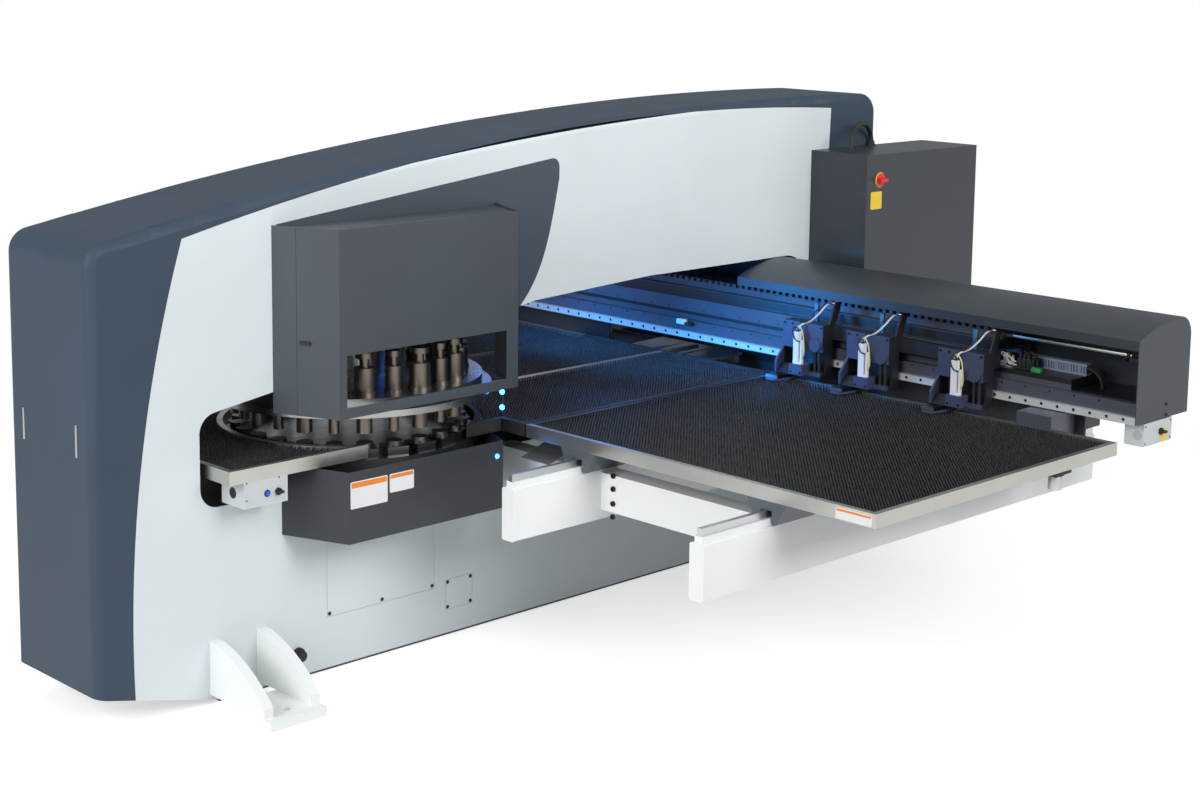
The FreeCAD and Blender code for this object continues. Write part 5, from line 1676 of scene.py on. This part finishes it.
@dataclass
class CabinetFittings:
    """Conduit between the cabinet and the frame, with its glands."""

    near: tuple[float, float] = (0.500, 2.705)
    far: tuple[float, float] = (0.325, 3.088)
    roof: float = 1.9495

    def build(self) -> None:
        """Make the fittings."""
        lay("cabinet_conduit", Finish.BLACK, 0.0125, "frame", [(
            (0.500, 2.705, 1.950), (0.500, 2.708, 1.985), (0.488, 2.735, 2.035),
            (0.455, 2.800, 2.066), (0.410, 2.890, 2.074), (0.365, 2.990, 2.062),
            (0.335, 3.060, 2.025), (0.325, 3.085, 1.985), (0.325, 3.088, 1.950))])
        for name, spot in (("near", self.near), ("far", self.far)):
            Shape().revolve((*spot, self.roof),
                            [(0.024, 0), (0.024, 0.006), (0.018, 0.010), (0.018, 0.022),
                             (0.0135, 0.026)]).done(f"cabinet_gland_{name}", Finish.BLACK,
                                                    "frame")


# --- stage, light and camera ---------------------------------------------------------------

@dataclass
class Studio:
    """Pale floor, soft light and the camera of the photograph."""

    eye: Point = (6.660, -5.075, 2.900)
    yaw: float = 45.48
    pitch: float = 8.38
    roll: float = -0.71
    lens: float = 60.27
    shift: float = -0.125
    floor_half: float = 400.0
    floor_middle: tuple[float, float] = (0.9, 1.0)
    floor_reach: float = 4.6
    floor_tones: tuple[float, float] = (0.79, 0.81)
    floor_fade: tuple[float, float] = (0.75, 1.25)
    floor_lift: float = 0.56
    air: Colour = (0.96, 0.98, 1.0)
    air_strength: float = 0.42
    sensor: float = 36.0
    far_clip: float = 1000.0

    def floor(self) -> None:
        """Lay the floor: it takes the shadow near the machine and is plain white beyond."""
        data = bpy.data.meshes.new("floor")
        half = self.floor_half
        data.from_pydata([(-half, -half, 0), (half, -half, 0), (half, half, 0),
                          (-half, half, 0)], [], [(0, 1, 2, 3)])
        floor = bpy.data.objects.new("floor", data)
        bpy.context.scene.collection.objects.link(floor)
        shader = Shader("studio_floor")
        along, across, _ = shader.axes()
        east, north = ((axis - middle) / self.floor_reach
                       for axis, middle in zip((along, across), self.floor_middle))
        away = (east ** 2.0 + north ** 2.0) ** 0.5
        darker, paler = ((tone, tone, tone) for tone in self.floor_tones)
        shader.set(Base_Color=shader.mix(shader.noise(3.0), darker, paler), Roughness=0.85)
        white, shine = (shader.node("ShaderNodeEmission", {"Color": WHITE, "Strength": power})
                        for power in (1.0, self.floor_lift))
        path = shader.node("ShaderNodeLightPath")
        direct, glossy, through = (Signal(shader, path.outputs[f"Is {kind} Ray"])
                                   for kind in ("Camera", "Glossy", "Transmission"))
        seen = (direct + glossy + through).maths("MINIMUM", 1.0)
        lifted = shader.node("ShaderNodeAddShader", {0: shader.surface, 1: shine})
        viewed = shader.node("ShaderNodeMixShader", {0: seen, 1: shader.surface, 2: lifted})
        blend = shader.node("ShaderNodeMixShader", {0: away.step(*self.floor_fade) * seen,
                                                    1: viewed, 2: white})
        shader.feed(shader.output.inputs[0], blend)
        data.materials.append(shader.material)

    def world(self) -> None:
        """Set an even pale surround that shows white behind the machine."""
        world = bpy.data.worlds.new("studio_world")
        bpy.context.scene.world = world
        world.use_nodes = True
        tree = Tree(world.node_tree)
        path = tree.node("ShaderNodeLightPath")
        seen = tree.signal("ShaderNodeMath", {0: path.outputs["Is Camera Ray"],
                                              1: path.outputs["Is Transmission Ray"]},
                           operation="MAXIMUM")
        dim = tree.node("ShaderNodeBackground", {0: self.air, 1: self.air_strength})
        white = tree.node("ShaderNodeBackground", {0: WHITE, 1: 1.0})
        blend = tree.node("ShaderNodeMixShader", {0: seen, 1: dim, 2: white})
        tree.node("ShaderNodeOutputWorld", {0: blend})

    @staticmethod
    def area(name: str, place: Point, aim: Point, size: float, power: float,
             tint: Colour = WHITE, spread: float = 180.0) -> None:
        """Hang a square soft light.

        Args:
            name: The light's name.
            place: Where it hangs.
            aim: The point that it faces.
            size: Length of its side.
            power: Power in watts.
            tint: Colour of its light.
            spread: Width of its beam in degrees.
        """
        data = bpy.data.lights.new(name, "AREA")
        data.spread = math.radians(spread)
        data.size = size
        data.energy = power
        data.color = tint
        lamp = bpy.data.objects.new(name, data)
        bpy.context.scene.collection.objects.link(lamp)
        lamp.location = place
        lamp.rotation_euler = (Vector(aim) - Vector(place)).to_track_quat("-Z", "Y").to_euler()

    def lights(self) -> None:
        """Hang the soft lights."""
        self.area("top_light", (0.5, 0.5, 8.0), (0.5, 0.8, 0.0), 7.0, 66.0)
        self.area("front_light", (1.5, -9.0, 5.0), (0.0, 0.0, 1.0), 5.0, 570.0)
        self.area("side_light", (8.6, 1.0, 6.2), (0.3, 1.2, 3.0), 5.0, 124.0, spread=70.0)

    def camera(self) -> None:
        """Set the camera where the photograph was taken from."""
        turn, tilt, lean = (math.radians(angle) for angle in (self.yaw, self.pitch, self.roll))
        ahead = Vector((-math.sin(turn) * math.cos(tilt), math.cos(turn) * math.cos(tilt),
                        -math.sin(tilt)))
        right = Vector((math.cos(turn), math.sin(turn), 0.0))
        down = ahead.cross(right)
        level = right * math.cos(lean) + down * math.sin(lean)
        up = right * math.sin(lean) - down * math.cos(lean)
        data = bpy.data.cameras.new("photo_camera")
        data.lens = self.lens
        data.sensor_width = self.sensor
        data.shift_y = self.shift
        data.clip_end = self.far_clip
        camera = bpy.data.objects.new("photo_camera", data)
        bpy.context.scene.collection.objects.link(camera)
        basis = Matrix((level, up, -ahead)).transposed().to_4x4()
        camera.matrix_world = Matrix.Translation(self.eye) @ basis
        bpy.context.scene.camera = camera

    def build(self) -> None:
        """Set the whole studio up."""
        bpy.context.scene.view_settings.view_transform = "Standard"
        self.floor()
        self.world()
        self.lights()
        self.camera()


def main() -> None:
    """Build the studio, the finishes and every fitting."""
    logging.basicConfig(level=logging.INFO)
    Studio().build()
    finish_nodes()
    fasteners = Fasteners()
    BrushTables().build()
    FrameFittings(fasteners).build()
    BarePlates().build()
    ControlBoxes(fasteners).build()
    WorkLamps().build()
    for kind in (BeamFittings, ClampFittings, RailFittings):
        kind(fasteners).build()
    LowerFittings().build()
    CabinetFittings().build()
    fasteners.close()


if __name__ == "__main__":
    main()
